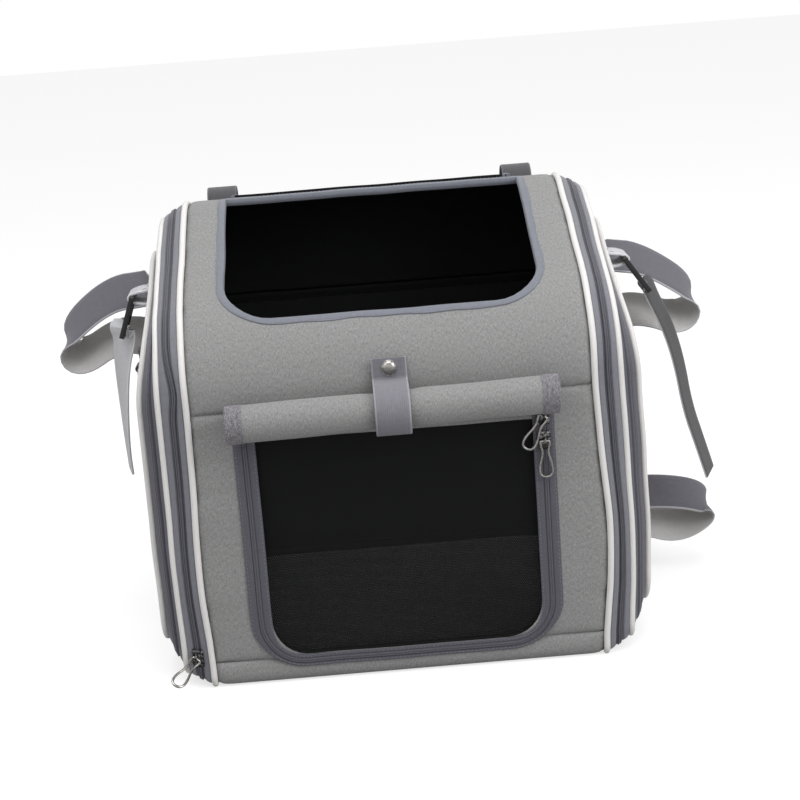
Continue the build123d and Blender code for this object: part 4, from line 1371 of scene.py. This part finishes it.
# The ring on the left side: a nickel wire ring in a narrow folded tab
ring_hinge = Vector((-190.9, -28, 232)) * mm
ring_half = 10 * mm
ring_drop = 20 * mm
ring_wire = 1.5 * mm
ring_tab_reach = 4 * mm
ring_corners = ((-0.72, 0), (0.72, 0), (1, -0.12), (1, -0.5), (0.8, -0.86), (0.35, -1), (-0.35, -1),
                (-0.8, -0.86), (-1, -0.5), (-1, -0.12))
line = smooth_loop([ring_hinge + Vector((0, across * ring_half, down * ring_drop))
                    for across, down in ring_corners])
bm = sweep(edge_stations(line, Vector((1, 0, 0)), True), ring_section(ring_wire, 10), closed_way=True)
place_piece("side_ring_wire", bm, (nickel,), "nickel", "side_ring", "side_ring")
ring_tab_route = ((1.0, 16.0), (1.2, 6.0), (3.6, 3.2), (6.6, 0.8), (6.4, -1.6), (3.8, -3.2), (1.9, -1.0),
                  (2.6, 6.0), (2.9, 15.0))
route = [Vector((-(panel_face + out * mm), ring_hinge.y, ring_hinge.z + up * mm))
         for out, up in ring_tab_route]
bm, _ = lay_strap(route, Vector((0, 1, 0)), 12 * mm, 1.4 * mm, rounds=2)
seat_on_side(bm, ring_tab_reach)
place_piece("ring_tab_fold", bm, (black_webbing,), "grey_webbing", "basket", "ring_tab")

# The top flap, unzipped and laid back over the ridge with its black lining outwards, its
# free edges bound in grey
flap_half = 110 * mm
flap_lift = 2.6 * mm
flap_sheet = 2.0 * mm
flap_corner = 18 * mm
flap_cell = 4 * mm
flap_front = way_at_depth(57 * mm)
flap_foot = back_way(151 * mm)
flap_edge = rounded_corners(Vector((-flap_half, flap_front)), Vector((flap_half, flap_foot)),
                            (0, 0, flap_corner, flap_corner))
bm = cut_cloth(flap_edge, flap_cell)
for vertex in bm.verts:
    vertex.co = settled(skin_point(vertex.co.x, vertex.co.y, flap_lift))
flap = place_piece("laid_back_flap", bm, (lining, body_cloth), "body_cloth", "basket", "top_flap")
thicken(flap, flap_sheet, inner=1)
flap_spots = walked(flap_edge[1:] + flap_edge[:1], flap_cell)
flap_line = [settled(skin_point(spot.x, spot.y, flap_lift - flap_sheet / 2)) for spot in flap_spots]
flap_raised = [skin_point(spot.x, spot.y, 1) - skin_point(spot.x, spot.y) for spot in flap_spots]
bm = sweep(edge_stations(flap_line, flap_raised), ring_section(3.6 * mm, 14, 1.7 * mm))
place_piece("flap_binding", bm, (binding_cloth,), "band_cloth", "basket")

# Inside: the stiff boards that keep the bottom and the back flat, and the sprung wire
# hoops sewn in behind the domed sides
board_finish, tree, shader, _ = mottled("black_board", "090a0a", "151617", 900.0, 4.0, 0.8, 0.1 * mm)
shader["Specular IOR Level"].default_value = 0.2
for node in ("base_board", "back_board"):
    for socket in frame["nodes"][node].material_slots:
        socket.material = board_finish

hoop_wire = 1.6 * mm
hoop_inset = inset_at(gusset_stop)[0] + side_skin + hoop_wire
spring_steel = mottled("spring_steel", "4d4d4f", "8f8f90", 300.0, 4.0, 0.35, metallic=1.0)[0]
bm = bmesh.new()
for side, hand in hands:
    around = [outline_point(way, hoop_inset) for way in outline_ways]
    line = [settled(Vector((side * (gusset_stop - hoop_wire), *spot))) for spot, out in around]
    sweep(edge_stations(line, [Vector((0, *out)) for spot, out in around], True),
          ring_section(hoop_wire, 10), closed_way=True, bm=bm)
place_piece("sprung_side_hoops", bm, (spring_steel,), "hoop_steel", "basket", "side_hoops")

# The mat: a fleece pad on the base board, crowned, quilted in four strips and soft at its
# edges
mat_low, mat_high = (Vector(corner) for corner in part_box("mat"))
mat_middle = (mat_low + mat_high) / 2
mat_half = (mat_high - mat_low) / 2
mat_strips = 4
mat_cuts = 47
mat_crown = 0.35
mat_seam = 0.22
fleece = mottled("charcoal_fleece", "0a0b0b", "1e1f21", 420.0, 6.0, 0.95, 0.8 * mm, grit=0.75, sheen=0.4)[0]
bm = bmesh.new()
bmesh.ops.create_cube(bm, size=1.0)
bmesh.ops.subdivide_edges(bm, edges=bm.edges, cuts=mat_cuts, use_grid_fill=True)
for vertex in bm.verts:
    u, v, w = vertex.co * 2
    rim = (abs(u) ** 14 + abs(v) ** 14) ** (1 / 14)
    strip = abs(sin(u * mat_strips * pi / 2))
    thick = (1 - mat_crown * rim ** 8) * (1 - mat_seam * (1 - strip) ** 4 * (1 - rim ** 8))
    drawn = (1 - 0.035 * abs(w) ** 3 - 0.01 * (1 - max(abs(u), abs(v)))) * (1 - 0.03 * (abs(u * v)) ** 6)
    level = w * thick if w > 0 else w
    vertex.co = mat_middle + Vector((u * mat_half.x * drawn, v * mat_half.y * drawn, level * mat_half.z))
mat = place_piece("fleece_mat", bm, (fleece,), "fleece", "basket", "mat", crease=radians(70))

# Top-stitching: grey thread along the zip's tape, the opening's binding, the door's
# bindings, and the strap's turned end
sewn_in = 1.3 * mm
bm = bmesh.new()
for edge in (-1, 1):
    sew(bm, zip_stations, lambda share: edge * (zip_half(share) - sewn_in), tape_thickness + 0.1 * mm)
place_piece("window_zip_stitching", bm, (thread_finish,), "zip_tape", "basket")
bm = bmesh.new()
sew(bm, hatch_stations, binding_width - 1.4 * mm, binding_proud)
place_piece("opening_stitching", bm, (thread_finish,), "band_cloth", "basket")
bm = bmesh.new()
for side, hand in hands:
    sew(bm, door_stations[:roll_steps], side * (roll_length / 2 - roll_binding + sewn_in), 0.6 * mm)
roll_up(bm)
place_piece("door_binding_stitching", bm, (thread_finish,), "band_cloth", "basket")
bm = bmesh.new()
end_line = [Vector((x * mm, strap_back, strap_top - 2.4 * mm)) for x in (-11.5, 0, 11.5)]
sew(bm, edge_stations(end_line, Vector((0, -1, 0))), 0, roll_strap_thickness / 2, pitch=2.9 * mm)
place_piece("roll_strap_stitching", bm, (thread_finish,), "grey_webbing", "roll_strap_end")
